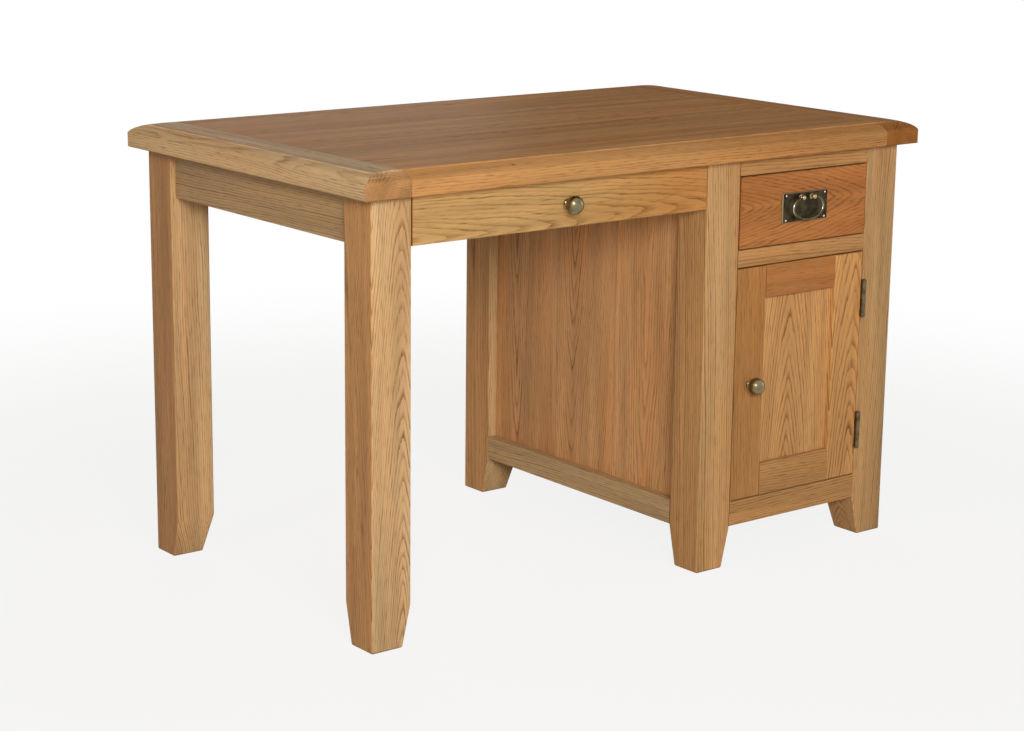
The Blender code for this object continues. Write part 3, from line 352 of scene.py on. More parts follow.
# %% [markdown]
# ## Pores and tone
# Oak has pores that the eye sees as short dark dashes along the grain, most of them in the spring wood. Real ones
# are about 0.3 mm wide and too fine for the picture, so they are drawn coarser. Slow noise makes bands of a paler
# or deeper tone, others blush red under the lacquer, and end grain drinks more lacquer and turns darker. All of
# it could be painted, but noise on the board's own coordinates keeps the dashes in line with the rings.

# %% Oak figure: pores and tone
PORE_LENGTH, PORE_WIDTH = 26 * MM, 1.8 * MM
TONE_LENGTH, TONE_WIDTH = 480 * MM, 26 * MM
PALEST, DEEPEST, END_TONE = 1.15, 0.84, 0.62

pores = add_node(oak, "ShaderNodeTexNoise", {
    "Vector": stretched(oak, given["Board"], stave_seed, PORE_LENGTH, PORE_WIDTH),
    "Scale": 1.0, "Detail": 1.0})
pores = add_node(oak, "ShaderNodeMapRange", {"Value": pores.outputs[0], "From Min": 0.52, "From Max": 0.74})
crowd = add_node(oak, "ShaderNodeMath", {0: spring, 1: 0.65, 2: 0.35}, operation="MULTIPLY_ADD")
pores = add_node(oak, "ShaderNodeMath", {0: pores, 1: crowd}, operation="MULTIPLY")

tone = add_node(oak, "ShaderNodeTexNoise", {
    "Vector": stretched(oak, given["Board"], stave_seed, TONE_LENGTH, TONE_WIDTH),
    "Scale": 1.0, "Detail": 2.0})
tone = add_node(oak, "ShaderNodeMapRange", {"Value": tone.outputs[0], "From Min": 0.3, "From Max": 0.7,
                                            "To Min": DEEPEST, "To Max": PALEST})
stave_tone = add_node(oak, "ShaderNodeMapRange", {"Value": luck["Green"], "To Min": 0.92, "To Max": 1.06})
tone = add_node(oak, "ShaderNodeMath", {0: tone, 1: stave_tone}, operation="MULTIPLY")
end_tone = add_node(oak, "ShaderNodeMapRange", {"Value": given["End Grain"], "To Min": 1.0, "To Max": END_TONE})
tone = add_node(oak, "ShaderNodeMath", {0: tone, 1: end_tone}, operation="MULTIPLY")
# This input paints light on the top boards: painted shade on the level face of the end boards and a painted
# highlight below the crease of the rolled edges. It is 1 on other boards.
tone = add_node(oak, "ShaderNodeMath", {0: tone, 1: given["Wear"]}, operation="MULTIPLY")
print("pores and tone:", len(oak.nodes), "nodes")

# %% Oak figure: knots, glue lines and the finished colour
KNOT_LENGTH, KNOT_WIDTH, KNOT_SHARE = 420 * MM, 120 * MM, 0.010
GLUE_LINE, GLUE_INK = 0.5 * MM, 0.55
BLUSH_LENGTH, BLUSH_WIDTH, BLUSH, BLUSH_MOST = 520 * MM, 75 * MM, "#FFE4CA", 0.45
SATIN, OPEN_PORE = 0.42, 0.60

knots = add_node(oak, "ShaderNodeTexVoronoi", {
    "Vector": stretched(oak, given["Board"], stave_seed, KNOT_LENGTH, KNOT_WIDTH), "Scale": 1.0})
knots = add_node(oak, "ShaderNodeMapRange", {"Value": knots.outputs["Distance"], "From Min": KNOT_SHARE,
                                             "From Max": 2 * KNOT_SHARE, "To Min": 1.0, "To Max": 0.0})
edge = add_node(oak, "ShaderNodeMath", {0: within}, operation="ABSOLUTE")
half = add_node(oak, "ShaderNodeMath", {0: given["Stave Width"], 1: 0.5, 2: -GLUE_LINE},
                operation="MULTIPLY_ADD")
glue = add_node(oak, "ShaderNodeMath", {0: edge, 1: half}, operation="GREATER_THAN")
glue = add_node(oak, "ShaderNodeMath", {0: glue, 1: GLUE_INK}, operation="MULTIPLY")
ink = add_node(oak, "ShaderNodeMath", {0: line, 1: given["Contrast"], 2: heartwood}, operation="MULTIPLY_ADD")
ink = add_node(oak, "ShaderNodeMath", {0: ink, 1: glue}, operation="MAXIMUM", use_clamp=True)

# A colour Mix node has its factor on socket 0, its two colours on 6 and 7, and its result on output 2.
colour = add_node(oak, "ShaderNodeMix", {0: ink, 6: given["Light"], 7: given["Dark"]}, data_type="RGBA")
deep = add_node(oak, "ShaderNodeVectorMath", {0: given["Dark"], "Scale": 0.5}, operation="SCALE")
specks = add_node(oak, "ShaderNodeMath", {0: pores, 1: 0.7}, operation="MULTIPLY")
specks = add_node(oak, "ShaderNodeMath", {0: specks, 1: knots}, operation="MAXIMUM")
colour = add_node(oak, "ShaderNodeMix", {0: specks, 6: colour.outputs[2], 7: deep}, data_type="RGBA")
blush = add_node(oak, "ShaderNodeTexNoise", {
    "Vector": stretched(oak, given["Board"], stave_seed, BLUSH_LENGTH, BLUSH_WIDTH),
    "Scale": 1.0, "Detail": 1.0})
blush = add_node(oak, "ShaderNodeMapRange", {"Value": blush.outputs[0], "From Min": 0.40, "From Max": 0.68,
                                             "To Max": BLUSH_MOST})
blush = add_node(oak, "ShaderNodeMath", {0: place["X"], 1: given["Blush Drift"], 2: blush},
                 operation="MULTIPLY_ADD", use_clamp=True)
for cut in (given["Side Cut"], given["End Grain"]):
    blush = add_node(oak, "ShaderNodeMath", {0: blush, 1: cut}, operation="MAXIMUM")
colour = add_node(oak, "ShaderNodeMix", {0: blush, 6: colour.outputs[2], 7: linear(BLUSH)}, data_type="RGBA",
                  blend_type="MULTIPLY")
colour = add_node(oak, "ShaderNodeVectorMath", {0: colour.outputs[2], "Scale": tone}, operation="SCALE")
sheen = add_node(oak, "ShaderNodeMapRange", {"Value": specks, "To Min": SATIN, "To Max": OPEN_PORE})
hollow = add_node(oak, "ShaderNodeMath", {0: pores, 1: ink}, operation="ADD")
height = add_node(oak, "ShaderNodeMath", {0: hollow, 1: -1.0}, operation="MULTIPLY")
add_node(oak, "NodeGroupOutput", {"Color": colour, "Roughness": sheen, "Height": height})
print("oak figure:", len(oak.nodes), "nodes")

# %% [markdown]
# ## One finish for each board
# On the real desk no two boards come from the same spot of the same log. A board's grain runs along its longest
# side, so its box is enough to lay the grain: the longest side, the middle one and the shortest become the
# length, the width and the thickness of the board. A Mapping node turns the desk's coordinates into the
# board's own. The name of the board seeds its chance, so the desk looks the same at every run. A face that is
# cut along the width shows another side of the rings. The left and right faces of the legs and posts are blushed
# redder.

# %% Colours and saw cuts of the boards
# All but the bare oak is under satin lacquer, which gives the eye a warm colour and a soft sheen that breaks at
# the pores. Bare oak, inside the drawers, is paler, flat and dull.
OAK = {
    # finish: pale and dark colour, widths of ring and stave and the heart's depth and side in mm, the slope of
    # the heart along the board, the ripple in mm and the strength of the lines
    "honey": ("#C8A97F", "#805C39", 3.6, 900, -14, 58, -0.03, 1.8, 1.00),
    "amber": ("#C6A070", "#7E562F", 3.8, 900, -14, 52, -0.04, 2.2, 1.00),
    "cathedral": ("#C8A97F", "#805C39", 3.2, 900, -8, 22, -0.10, 2.2, 1.00),
    "plain": ("#BC8F5C", "#74492A", 3.8, 900, 40, 70, 0.03, 2.5, 0.90),
    "tawny": ("#B28450", "#6E4628", 3.8, 900, 40, 70, 0.03, 2.5, 0.90),
    "arched": ("#D7A367", "#7B4B2A", 6.0, 900, -38, 18, -0.14, 7.0, 0.95),
    "panel": ("#D4A270", "#835632", 4.0, 165, 34, 0, -0.16, 3.5, 1.00),
    "door_panel": ("#D6A66E", "#81532D", 4.6, 900, -40, -12, -0.12, 4.0, 0.95),
    "top": ("#C0905C", "#7A4F2D", 4.2, 122, 45, 0, 0.08, 3.0, 0.70),
    "top_end": ("#E0BE92", "#926942", 4.0, 900, -95, 12, 0.02, 1.4, 0.80),
    "top_end_warm": ("#C9975F", "#7F5431", 4.0, 900, -95, 12, 0.02, 1.4, 0.80),
    "straw": ("#C5A06A", "#865E34", 4.8, 900, 34, -30, 0.07, 5.0, 0.80),
    "russet": ("#B67945", "#744222", 4.6, 900, 42, 8, 0.20, 5.0, 0.85),
    "umber": ("#B67C48", "#84542D", 3.4, 900, 40, 110, 0.02, 2.0, 0.60),
    "bare": ("#DDC09A", "#B9925F", 3.6, 900, 45, 60, 0.03, 2.5, 0.60),
}
BY_SLOT = {"oak": "plain", "oak_top": "top", "oak_panel": "panel", "pale_oak": "bare"}
BY_BOARD = {
    "leg_front_left": "cathedral", "post_front_left": "amber", "post_front_right": "amber",
    "top_end_left": "top_end", "top_end_right": "top_end_warm", "centre_drawer_front": "straw",
    "small_drawer_front": "russet", "door_stile_left": "tawny", "door_stile_right": "arched",
    "door_rail_top": "umber", "door_panel": "door_panel", "apron_left": "honey", "apron_rear": "honey",
    "pedestal_bottom_rail_left": "honey", "pedestal_bottom_rail_right": "honey",
    "pedestal_bottom_rail_rear": "honey",
}
# These boards keep the heart and the rings of the table. On the others chance varies them.
AS_SAWN = {"leg_front_left", "centre_drawer_front", "small_drawer_front", "door_stile_right", "door_panel"}
SINGLE_BOARD = 900
# The blush grows along one drawer front, by this much a metre.
BLUSH_DRIFT = {"centre_drawer_front": 4.2}
print(len(OAK), "oak finishes")


# %% How a board lies, and light painted on the top
# The level face of an end board is painted darker, a painted shade, and a painted highlight runs just below the
# crease of the rolled edges.
LEVEL_PAINTED_SHADE = {"top": 1.0, "top_end": 0.73, "top_end_warm": 0.88}
LEVEL_FROM, LEVEL_FULL = 0.985, 0.999
CREASE_DROP, CREASE_PAINTED_HIGHLIGHT, HIGHLIGHT_BREAK_LENGTH, HIGHLIGHT_BREAK_LEAST = 1.8 * MM, 1.0, 45 * MM, 0.3


def board_axes(name, wide=None):
    """The rows that turn the desk's axes into a board's length, width and thickness, and its centre."""
    low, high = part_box(name)
    size = high - low
    order = sorted(range(3), key=lambda axis: -size[axis])
    if wide is not None:
        order = [order[0], wide, 3 - order[0] - wide]
    rows = Matrix([[1.0 if axis == column else 0.0 for column in range(3)] for axis in order])
    if rows.determinant() < 0:
        rows[2] = -rows[2]
    return rows, (low + high) / 2


def painted_light_tone(tree, where, finish, top_z):
    """The tone of a top board: painted shade on its level face, and a painted highlight just below the crease of
    its rolled edge.
    """
    upright = add_node(tree, "ShaderNodeSeparateXYZ", {0: where["Normal"]})
    # Painted shade: a level face is darkened by the level tone of its finish.
    level = add_node(tree, "ShaderNodeMapRange", {"Value": upright.outputs["Z"], "From Min": LEVEL_FROM,
                                                  "From Max": LEVEL_FULL})
    tone = add_node(tree, "ShaderNodeMapRange", {"Value": level, "To Min": 1.0, "To Max": LEVEL_PAINTED_SHADE[finish]})
    # A painted highlight in a thin band just below the crease, only off the level face, and broken along its
    # length by noise.
    high = add_node(tree, "ShaderNodeSeparateXYZ", {0: where["Object"]})
    crease = add_node(tree, "ShaderNodeMapRange", {"Value": high.outputs["Z"], "From Min": top_z - CREASE_DROP,
                                                   "From Max": top_z, "To Max": CREASE_PAINTED_HIGHLIGHT})
    rolled = add_node(tree, "ShaderNodeMath", {0: 1.0, 1: level}, operation="SUBTRACT")
    crease = add_node(tree, "ShaderNodeMath", {0: crease, 1: rolled}, operation="MULTIPLY")
    highlight_and_wear = add_node(tree, "ShaderNodeTexNoise", {"Vector": where["Object"], "Scale": 1 / HIGHLIGHT_BREAK_LENGTH,
                                                   "Detail": 3.0})
    highlight_and_wear = add_node(tree, "ShaderNodeMapRange", {"Value": highlight_and_wear.outputs[0], "From Min": 0.3,
                                                   "From Max": 0.6, "To Min": HIGHLIGHT_BREAK_LEAST})
    return add_node(tree, "ShaderNodeMath", {0: crease, 1: highlight_and_wear, 2: tone}, operation="MULTIPLY_ADD")


print("grain of the top runs along", board_axes("top_field")[0][0][:])


# %% Oak finish for one board
SIDE_BLUSH = {"amber": 0.45}
GLOSS = {"top": 0.001, "top_end": 0.001, "top_end_warm": 0.001, "bare": 0.02}
LACQUER_GLOSS = 0.10
END_FROM, SIDE_FROM, TURN_REACH = 0.12, 0.40, 0.40
GRAIN_RELIEF = 0.25 * MM


def oak_finish(name, finish, wide=None):
    """Lacquered or bare oak for one board, with the grain along its longest side."""
    pale, dark, ring, stave_width, heart, heart_side, slope, ripple_depth, contrast = OAK[finish]
    rows, centre = board_axes(name, wide)
    chance = Random(name)
    seed = [chance.uniform(0, 90) for _ in range(3)]
    if name not in AS_SAWN:
        ring *= chance.uniform(0.9, 1.15)
        heart *= chance.uniform(0.85, 1.2)
        heart_side *= chance.choice((-1, 1))
    material = bpy.data.materials.new(("bare_oak_" if finish == "bare" else "lacquered_oak_") + name)
    material.use_nodes = True
    tree = material.node_tree
    tree.nodes.clear()
    where = add_node(tree, "ShaderNodeTexCoord").outputs
    board = add_node(tree, "ShaderNodeMapping", {
        "Vector": where["Object"], "Location": -(rows @ centre), "Rotation": rows.to_euler("XYZ")})
    # Only legs and posts get a wide axis, so the side cut blushes their left and right faces redder.
    side_most = 0.0 if wide is None else SIDE_BLUSH.get(finish, 1.0)
    turned = []
    for row, start, most in ((0, END_FROM, 1.0), (1, SIDE_FROM, side_most)):
        facing = add_node(tree, "ShaderNodeVectorMath", {0: where["Normal"], 1: rows[row]},
                          operation="DOT_PRODUCT")
        facing = add_node(tree, "ShaderNodeMath", {0: facing.outputs["Value"]}, operation="ABSOLUTE")
        turned.append(add_node(tree, "ShaderNodeMapRange", {"Value": facing, "From Min": start,
                                                            "From Max": start + TURN_REACH,
                                                            "To Max": most}))
    # Painted light on the top boards: painted shade on the end boards' level face and a painted highlight below
    # the crease.
    painted_light = painted_light_tone(tree, where, finish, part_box(name)[1].z) if finish in LEVEL_PAINTED_SHADE else 1.0
    figure = add_node(tree, "ShaderNodeGroup", {
        "Board": board, "End Grain": turned[0], "Side Cut": turned[1], "Seed": seed,
        "Stave Width": stave_width * MM, "Stave Change": 0.0 if stave_width == SINGLE_BOARD else 1.0,
        "Heart Depth": heart * MM, "Heart Side": heart_side * MM, "Slope": slope,
        "Ring Width": ring * MM, "Ripple": ripple_depth * MM, "Contrast": contrast,
        "Blush Drift": BLUSH_DRIFT.get(name, 0.0), "Wear": painted_light,
        "Light": linear(pale), "Dark": linear(dark),
    }, node_tree=oak)
    relief = add_node(tree, "ShaderNodeBump", {"Height": figure.outputs["Height"], "Strength": 0.35,
                                               "Distance": GRAIN_RELIEF})
    surface = add_node(tree, "ShaderNodeBsdfPrincipled", {
        "Base Color": figure.outputs["Color"], "Roughness": figure.outputs["Roughness"], "Normal": relief,
        "Specular IOR Level": GLOSS.get(finish, LACQUER_GLOSS)})
    add_node(tree, "ShaderNodeOutputMaterial", {"Surface": surface})
    return material


finishes = {}
for name, slot in slot_of.items():
    if slot not in BY_SLOT:
        continue
    is_leg = name.startswith(("leg_", "post_"))
    finish = BY_BOARD.get(name, "honey" if is_leg else BY_SLOT[slot])
    finishes[name] = oak_finish(name, finish, 0 if is_leg else None)
    nodes[name].data.materials.clear()
    nodes[name].data.materials.append(finishes[name])
print(len(finishes), "boards of oak")

# %% [markdown]
# ## Metals
# The knobs, the bail and the hinges are antiqued brass: brass is darkened with acid and rubbed bright again on
# the high spots, so clouds of brown patina lie over yellow metal. The back plate is darkened until it is
# bronze, and its rim is painted paler, a painted highlight on the bevel as well as a worn edge. The catch is plain
# zinc-plated steel. One recipe makes them all: two tones mixed by cloudy noise, a little rougher where the metal
# is dull, and on the plate and the bail a paler tint where faces turn one way, a painted highlight. Smooth colour
# alone would look like paint.


# %% One recipe for metal
def metal(name, bright, dull, cloud, share, roughness, highlight_and_wear_facing=None):
    """A bare metal with clouds of a duller tone, and a paler tint painted where its faces turn one way: a painted
    highlight, which on the back plate also stands for a worn rim.
    """
    material = bpy.data.materials.new(name)
    material.use_nodes = True
    tree = material.node_tree
    tree.nodes.clear()
    where = add_node(tree, "ShaderNodeTexCoord").outputs
    clouds = add_node(tree, "ShaderNodeTexNoise", {"Vector": where["Object"], "Scale": 1 / cloud,
                                                   "Detail": 5.0, "Roughness": 0.6})
    dulled = add_node(tree, "ShaderNodeMapRange", {"Value": clouds.outputs[0], "From Min": 0.62 - 0.35 * share,
                                                   "From Max": 0.85 - 0.35 * share})
    tint = add_node(tree, "ShaderNodeMix", {0: dulled, 6: linear(bright), 7: linear(dull)}, data_type="RGBA")
    # A painted highlight: faces that turn along the given way are mixed towards a paler tint. On the back plate
    # this is also a worn rim.
    if highlight_and_wear_facing:
        highlight_and_wear, way, first, full = highlight_and_wear_facing
        facing = add_node(tree, "ShaderNodeVectorMath", {0: where["Normal"], 1: Vector(way).normalized()},
                          operation="DOT_PRODUCT")
        facing = add_node(tree, "ShaderNodeMath", {0: facing.outputs["Value"]}, operation="ABSOLUTE")
        highlight_and_wear_mask = add_node(tree, "ShaderNodeMapRange", {"Value": facing, "From Min": first, "From Max": full},
                         interpolation_type="SMOOTHSTEP")
        tint = add_node(tree, "ShaderNodeMix", {0: highlight_and_wear_mask, 6: tint.outputs[2], 7: linear(highlight_and_wear)},
                        data_type="RGBA")
    sheen = add_node(tree, "ShaderNodeMapRange", {"Value": dulled, "To Min": roughness,
                                                  "To Max": roughness + 0.1})
    fine = add_node(tree, "ShaderNodeTexNoise", {"Vector": where["Object"], "Scale": 4 / cloud, "Detail": 3.0})
    relief = add_node(tree, "ShaderNodeBump", {"Height": fine.outputs[0], "Strength": 0.12,
                                               "Distance": 0.1 * MM})
    surface = add_node(tree, "ShaderNodeBsdfPrincipled", {
        "Base Color": tint.outputs[2], "Metallic": 1.0, "Roughness": sheen, "Normal": relief})
    add_node(tree, "ShaderNodeOutputMaterial", {"Surface": surface})
    return material


print("metal recipe ready")

# %% Metal finishes
# Antiqued brass gives a dull olive gold with soft highlights, darkened bronze an almost black brown with a paler
# rim, a painted highlight on its bevel as well as a worn edge, and zinc plating a cool pale grey. The bail is
# bronze, its flanks painted bright, a painted highlight. The nails are brass that was left bright.
METALS = {
    "antique_brass": metal("antiqued_brass", "#857B5C", "#5E533B", 9 * MM, 0.35, 0.25),
    # The back plate's rim is painted paler, a painted highlight on its bevel as well as a worn edge.
    "dark_bronze": metal("darkened_bronze", "#4B412F", "#2B241A", 16 * MM, 0.6, 0.40,
                         ("#8C8062", (0, 1, 0), 0.97, 0.75)),
    "zinc_steel": metal("zinc_plated_steel", "#C4C7C8", "#8F9496", 12 * MM, 0.4, 0.34),
}
hinge_bronze = metal("hinge_bronze", "#75674E", "#4A3E2D", 12 * MM, 0.5, 0.32)
# The bail's flanks, facing left and right, are painted bright: a painted highlight.
bail_bronze = metal("bail_bronze", "#645940", "#2E261B", 14 * MM, 0.50, 0.20, ("#D6CBAE", (1, 0, 0), 0.35, 0.9))
post_brass = metal("post_brass", "#BCAE86", "#6E6142", 6 * MM, 0.35, 0.24)
bright_brass = metal("rubbed_brass", "#F1E7C8", "#B3A275", 4 * MM, 0.3, 0.22)
BY_FITTING = {"hinge_": hinge_bronze, "bail_post": post_brass}
for name, slot in slot_of.items():
    if slot in METALS:
        own = [chosen for start, chosen in BY_FITTING.items() if name.startswith(start)]
        nodes[name].data.materials.clear()
        nodes[name].data.materials.append(own[0] if own else METALS[slot])
print(len(METALS) + 4, "metals")

# %% [markdown]
# ## Softer edges
# The top and the legs have rounded edges, which the solids show as narrow flat facets. A merged copy with
# smooth shading and weighted normals keeps the flat faces flat and lets the light roll over the rounds. Each
# copy takes the place of its solid.

# %% Softly shaded copies
SOFT_ANGLE = radians(35)
RIM_ANGLE = radians(8)


def place_piece(piece, node, material):
    """Put a finished piece in the place of a solid, on the same body and with the given material."""
    piece.data.materials.clear()
    piece.data.materials.append(material)
    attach(piece, nodes[node]["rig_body"])
    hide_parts(node)


def crisp_rim(mesh):
    """Keep the crease round a level face, where the flat top breaks into its rolled edge."""
    work = bmesh.new()
    work.from_mesh(mesh)
    for edge in work.edges:
        if edge.calc_face_angle(0.0) > RIM_ANGLE and any(face.normal.z > 0.9999 for face in edge.link_faces):
            edge.smooth = False
    work.to_mesh(mesh)
    work.free()


def shade_soft(piece):
    """Smooth shading with sharp creases, weighted by face so that flats stay flat, as a plain mesh."""
    piece.data.shade_smooth()
    piece.data.set_sharp_from_angle(angle=SOFT_ANGLE)
    crisp_rim(piece.data)
    even = piece.modifiers.new("even_normals", "WEIGHTED_NORMAL")
    even.keep_sharp = True
    seen = piece.evaluated_get(bpy.context.evaluated_depsgraph_get())
    finished = bpy.data.meshes.new_from_object(seen)
    piece.modifiers.clear()
    piece.data = finished


def soft_copy(node):
    """A copy of a solid with its loose triangles joined into whole faces."""
    mesh = bpy.data.meshes.new(node + "_soft")
    work = bmesh.new()
    work.from_mesh(nodes[node].data)
    bmesh.ops.remove_doubles(work, verts=work.verts, dist=0.005 * MM)
    bmesh.ops.dissolve_limit(work, angle_limit=radians(0.3), verts=work.verts, edges=work.edges)
    work.to_mesh(mesh)
    work.free()
    piece = bpy.data.objects.new(node + "_soft", mesh)
    bpy.context.scene.collection.objects.link(piece)
    shade_soft(piece)
    return piece


soft_nodes = [name for name in nodes if name.startswith(("top_", "leg_", "post_"))]
for node in soft_nodes:
    place_piece(soft_copy(node), node, finishes[node])
metal_nodes = [name for name in nodes if name.startswith(("bail_post", "handle_plate")) or "_leaf" in name]
for node in metal_nodes:
    place_piece(soft_copy(node), node, nodes[node].data.materials[0])
print(len(soft_nodes), "boards and", len(metal_nodes), "fittings with soft edges")

# %% [markdown]
# ## Turned knobs and pins
# A knob is turned on a lathe, so it is a profile spun round an axis. The solid has few facets. Its profile is
# read back from its own edges, one line of them from the foot to the tip, and spun again with many more.

# %% Turn the knobs and hinge pins again
TURN_SIDES = 72


def read_profile(node, axis):
    """The profile of a turned solid as (place along the axis, radius), and the two other coordinates."""
    low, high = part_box(node)
    middle = (low + high) / 2
    first, second = (axis + 1) % 3, (axis + 2) % 3
    work = bmesh.new()
    work.from_mesh(nodes[node].data)
    bmesh.ops.remove_doubles(work, verts=work.verts, dist=0.005 * MM)

    def polar(vertex):
        across, over = vertex.co[first] - middle[first], vertex.co[second] - middle[second]
        return hypot(across, over), atan2(over, across)

    widest = max(work.verts, key=lambda vertex: polar(vertex)[0])
    line_angle = polar(widest)[1]
    on_line = {vertex for vertex in work.verts
               if polar(vertex)[0] < 0.01 * MM or abs(polar(vertex)[1] - line_angle) < 0.02}
    links = {vertex: [edge.other_vert(vertex) for edge in vertex.link_edges
                      if edge.other_vert(vertex) in on_line] for vertex in on_line}
    ends = [vertex for vertex in on_line if len(links[vertex]) == 1]
    vertex = min(ends, key=lambda one: one.co[axis])
    line, seen = [], set()
    while vertex:
        seen.add(vertex)
        line.append((vertex.co[axis], polar(vertex)[0]))
        vertex = next((one for one in links[vertex] if one not in seen), None)
    work.free()
    return line, (middle[first], middle[second])


def turn_profile(name, line, centre, axis):
    """Spin a profile round an axis, with a single point where it meets the axis."""
    work = bmesh.new()
    first, second = (axis + 1) % 3, (axis + 2) % 3
    rings = []
    for along, radius in line:
        ring = []
        for step in range(TURN_SIDES if radius > 0.01 * MM else 1):
            angle = 2 * pi * step / TURN_SIDES
            point = [0.0, 0.0, 0.0]
            point[axis] = along
            point[first] = centre[0] + radius * cos(angle) * (radius > 0.01 * MM)
            point[second] = centre[1] + radius * sin(angle) * (radius > 0.01 * MM)
            ring.append(work.verts.new(point))
        rings.append(ring)
    for one, two in zip(rings, rings[1:]):
        for step in range(TURN_SIDES):
            after = (step + 1) % TURN_SIDES
            corners = [one[step % len(one)], one[after % len(one)], two[after % len(two)],
                       two[step % len(two)]]
            unique = list(dict.fromkeys(corners))
            if len(unique) > 2:
                work.faces.new(unique)
    for ring in (rings[0], rings[-1]):
        if len(ring) > 1:
            work.faces.new(ring)
    bmesh.ops.recalc_face_normals(work, faces=work.faces)
    mesh = bpy.data.meshes.new(name)
    work.to_mesh(mesh)
    work.free()
    piece = bpy.data.objects.new(name, mesh)
    bpy.context.scene.collection.objects.link(piece)
    shade_soft(piece)
    return piece


for node, axis in (("centre_drawer_knob", 1), ("door_knob", 1), ("hinge_upper_pin", 2), ("hinge_lower_pin", 2)):
    line, centre = read_profile(node, axis)
    place_piece(turn_profile(node + "_turned", line, centre, axis), node, nodes[node].data.materials[0])
    print(node, "turned from", len(line), "points")

# %% [markdown]
# ## The bail
# The bail is a round wire bent into an oval, with a collar at each end that keeps it between its two posts. A
# Geometry Nodes tree sweeps a circle along the bent path. The path is a line of points, and each point carries
# its thickness, so the collars and the thin end pins are part of the same sweep.

# %% Bend and sweep the bail
WIRE, COLLAR, PIN = 2.4 * MM, 3.3 * MM, 1.5 * MM
COLLAR_LENGTH, PIN_REACH, SEAT = 2.2 * MM, 2.0 * MM, 0.3 * MM
BOW_POINTS = 40


def group_with(name, inputs):
    """A Geometry Nodes group with named inputs and one geometry output."""
    group = bpy.data.node_groups.new(name, "GeometryNodeTree")
    group.interface.new_socket("Geometry", in_out="OUTPUT", socket_type="NodeSocketGeometry")
    for socket, kind in inputs:
        group.interface.new_socket(socket, in_out="INPUT", socket_type="NodeSocket" + kind)
    return group


def run_group(name, group, mesh, values):
    """Run a group on a mesh with its inputs set, and give the result as an object with a plain mesh."""
    piece = bpy.data.objects.new(name, mesh)
    bpy.context.scene.collection.objects.link(piece)
    modifier = piece.modifiers.new(group.name, "NODES")
    modifier.node_group = group
    for item in group.interface.items_tree:
        if item.in_out == "INPUT" and item.name in values:
            modifier[item.identifier] = values[item.name]
    finished = bpy.data.meshes.new_from_object(piece.evaluated_get(bpy.context.evaluated_depsgraph_get()))
    piece.modifiers.clear()
    piece.data = finished
    return piece


sweep = group_with("sweep_wire", [("Geometry", "Geometry"), ("Sides", "Int"), ("Material", "Material")])
given = add_node(sweep, "NodeGroupInput").outputs
path = add_node(sweep, "GeometryNodeMeshToCurve", {0: given["Geometry"]})
thick = add_node(sweep, "GeometryNodeInputNamedAttribute", {"Name": "thickness"}, data_type="FLOAT")
ring = add_node(sweep, "GeometryNodeCurvePrimitiveCircle", {"Resolution": given["Sides"], "Radius": 1.0})
swept = add_node(sweep, "GeometryNodeCurveToMesh", {"Curve": path, "Profile Curve": ring, "Scale": thick,
                                                    "Fill Caps": True})
real = add_node(sweep, "GeometryNodeRealizeInstances", {0: swept})
dressed = add_node(sweep, "GeometryNodeSetMaterial", {"Geometry": real, "Material": given["Material"]})
add_node(sweep, "NodeGroupOutput", {0: dressed})

bail_low, bail_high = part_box("bail")
post_low, post_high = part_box("bail_post_right")
half_wide = (bail_high.x - bail_low.x) / 2 - WIRE
middle_x = (bail_high.x + bail_low.x) / 2
pivot_y = (bail_high.y + bail_low.y) / 2
pivot_z = bail_high.z - COLLAR
bottom_z = bail_low.z + WIRE
ball_side = post_high.x - middle_x
post_x = (post_high.x + post_low.x) / 2 - middle_x
collar_in = ball_side + SEAT
collar_out = collar_in + COLLAR_LENGTH
half = [(post_x - PIN_REACH, 0.0, PIN), (collar_in - 0.02 * MM, 0.0, PIN), (collar_in, 0.0, COLLAR),
        (collar_out - 0.02 * MM, 0.0, COLLAR), (collar_out, 0.0, WIRE)]
first_cos = (collar_out + WIRE / 2) / half_wide
drop_share = 18 / 21
half_high = (pivot_z - bottom_z) / (1 + drop_share)
start_turn = atan2((1 - first_cos ** 2) ** 0.5, first_cos)
for step in range(BOW_POINTS + 1):
    angle = start_turn - (start_turn + pi / 2) * step / BOW_POINTS
    half.append((half_wide * cos(angle), half_high * (sin(angle) - drop_share), WIRE))
path_points = [(-x, z, r) for x, z, r in half] + half[-2::-1]
bail_line = bpy.data.meshes.new("bail_line")
bail_line.from_pydata([(middle_x + x, pivot_y, pivot_z + z) for x, z, _ in path_points],
                      [(i, i + 1) for i in range(len(path_points) - 1)], [])
thickness = bail_line.attributes.new("thickness", "FLOAT", "POINT")
for item, (_, _, radius_here) in zip(thickness.data, path_points):
    item.value = radius_here
bail_piece = run_group("bail_bent", sweep, bail_line, {"Sides": 24, "Material": bail_bronze})
shade_soft(bail_piece)
place_piece(bail_piece, "bail", bail_bronze)
print("bail", len(bail_piece.data.vertices), "points, box", [round(v, 4) for v in bail_piece.dimensions])

# %% [markdown]
# ## Nails and screws
# Four domed nails hold the back plate. Slotted screws hold the hinges, the catch and the drawer runners, and
# the knobs and bail posts are bolted through from behind. All of them are one small turned head with a slot, set
# many times. A Geometry Nodes tree shapes the head once, puts a copy at every point, turns it to face outwards
# and spins its slot by chance.

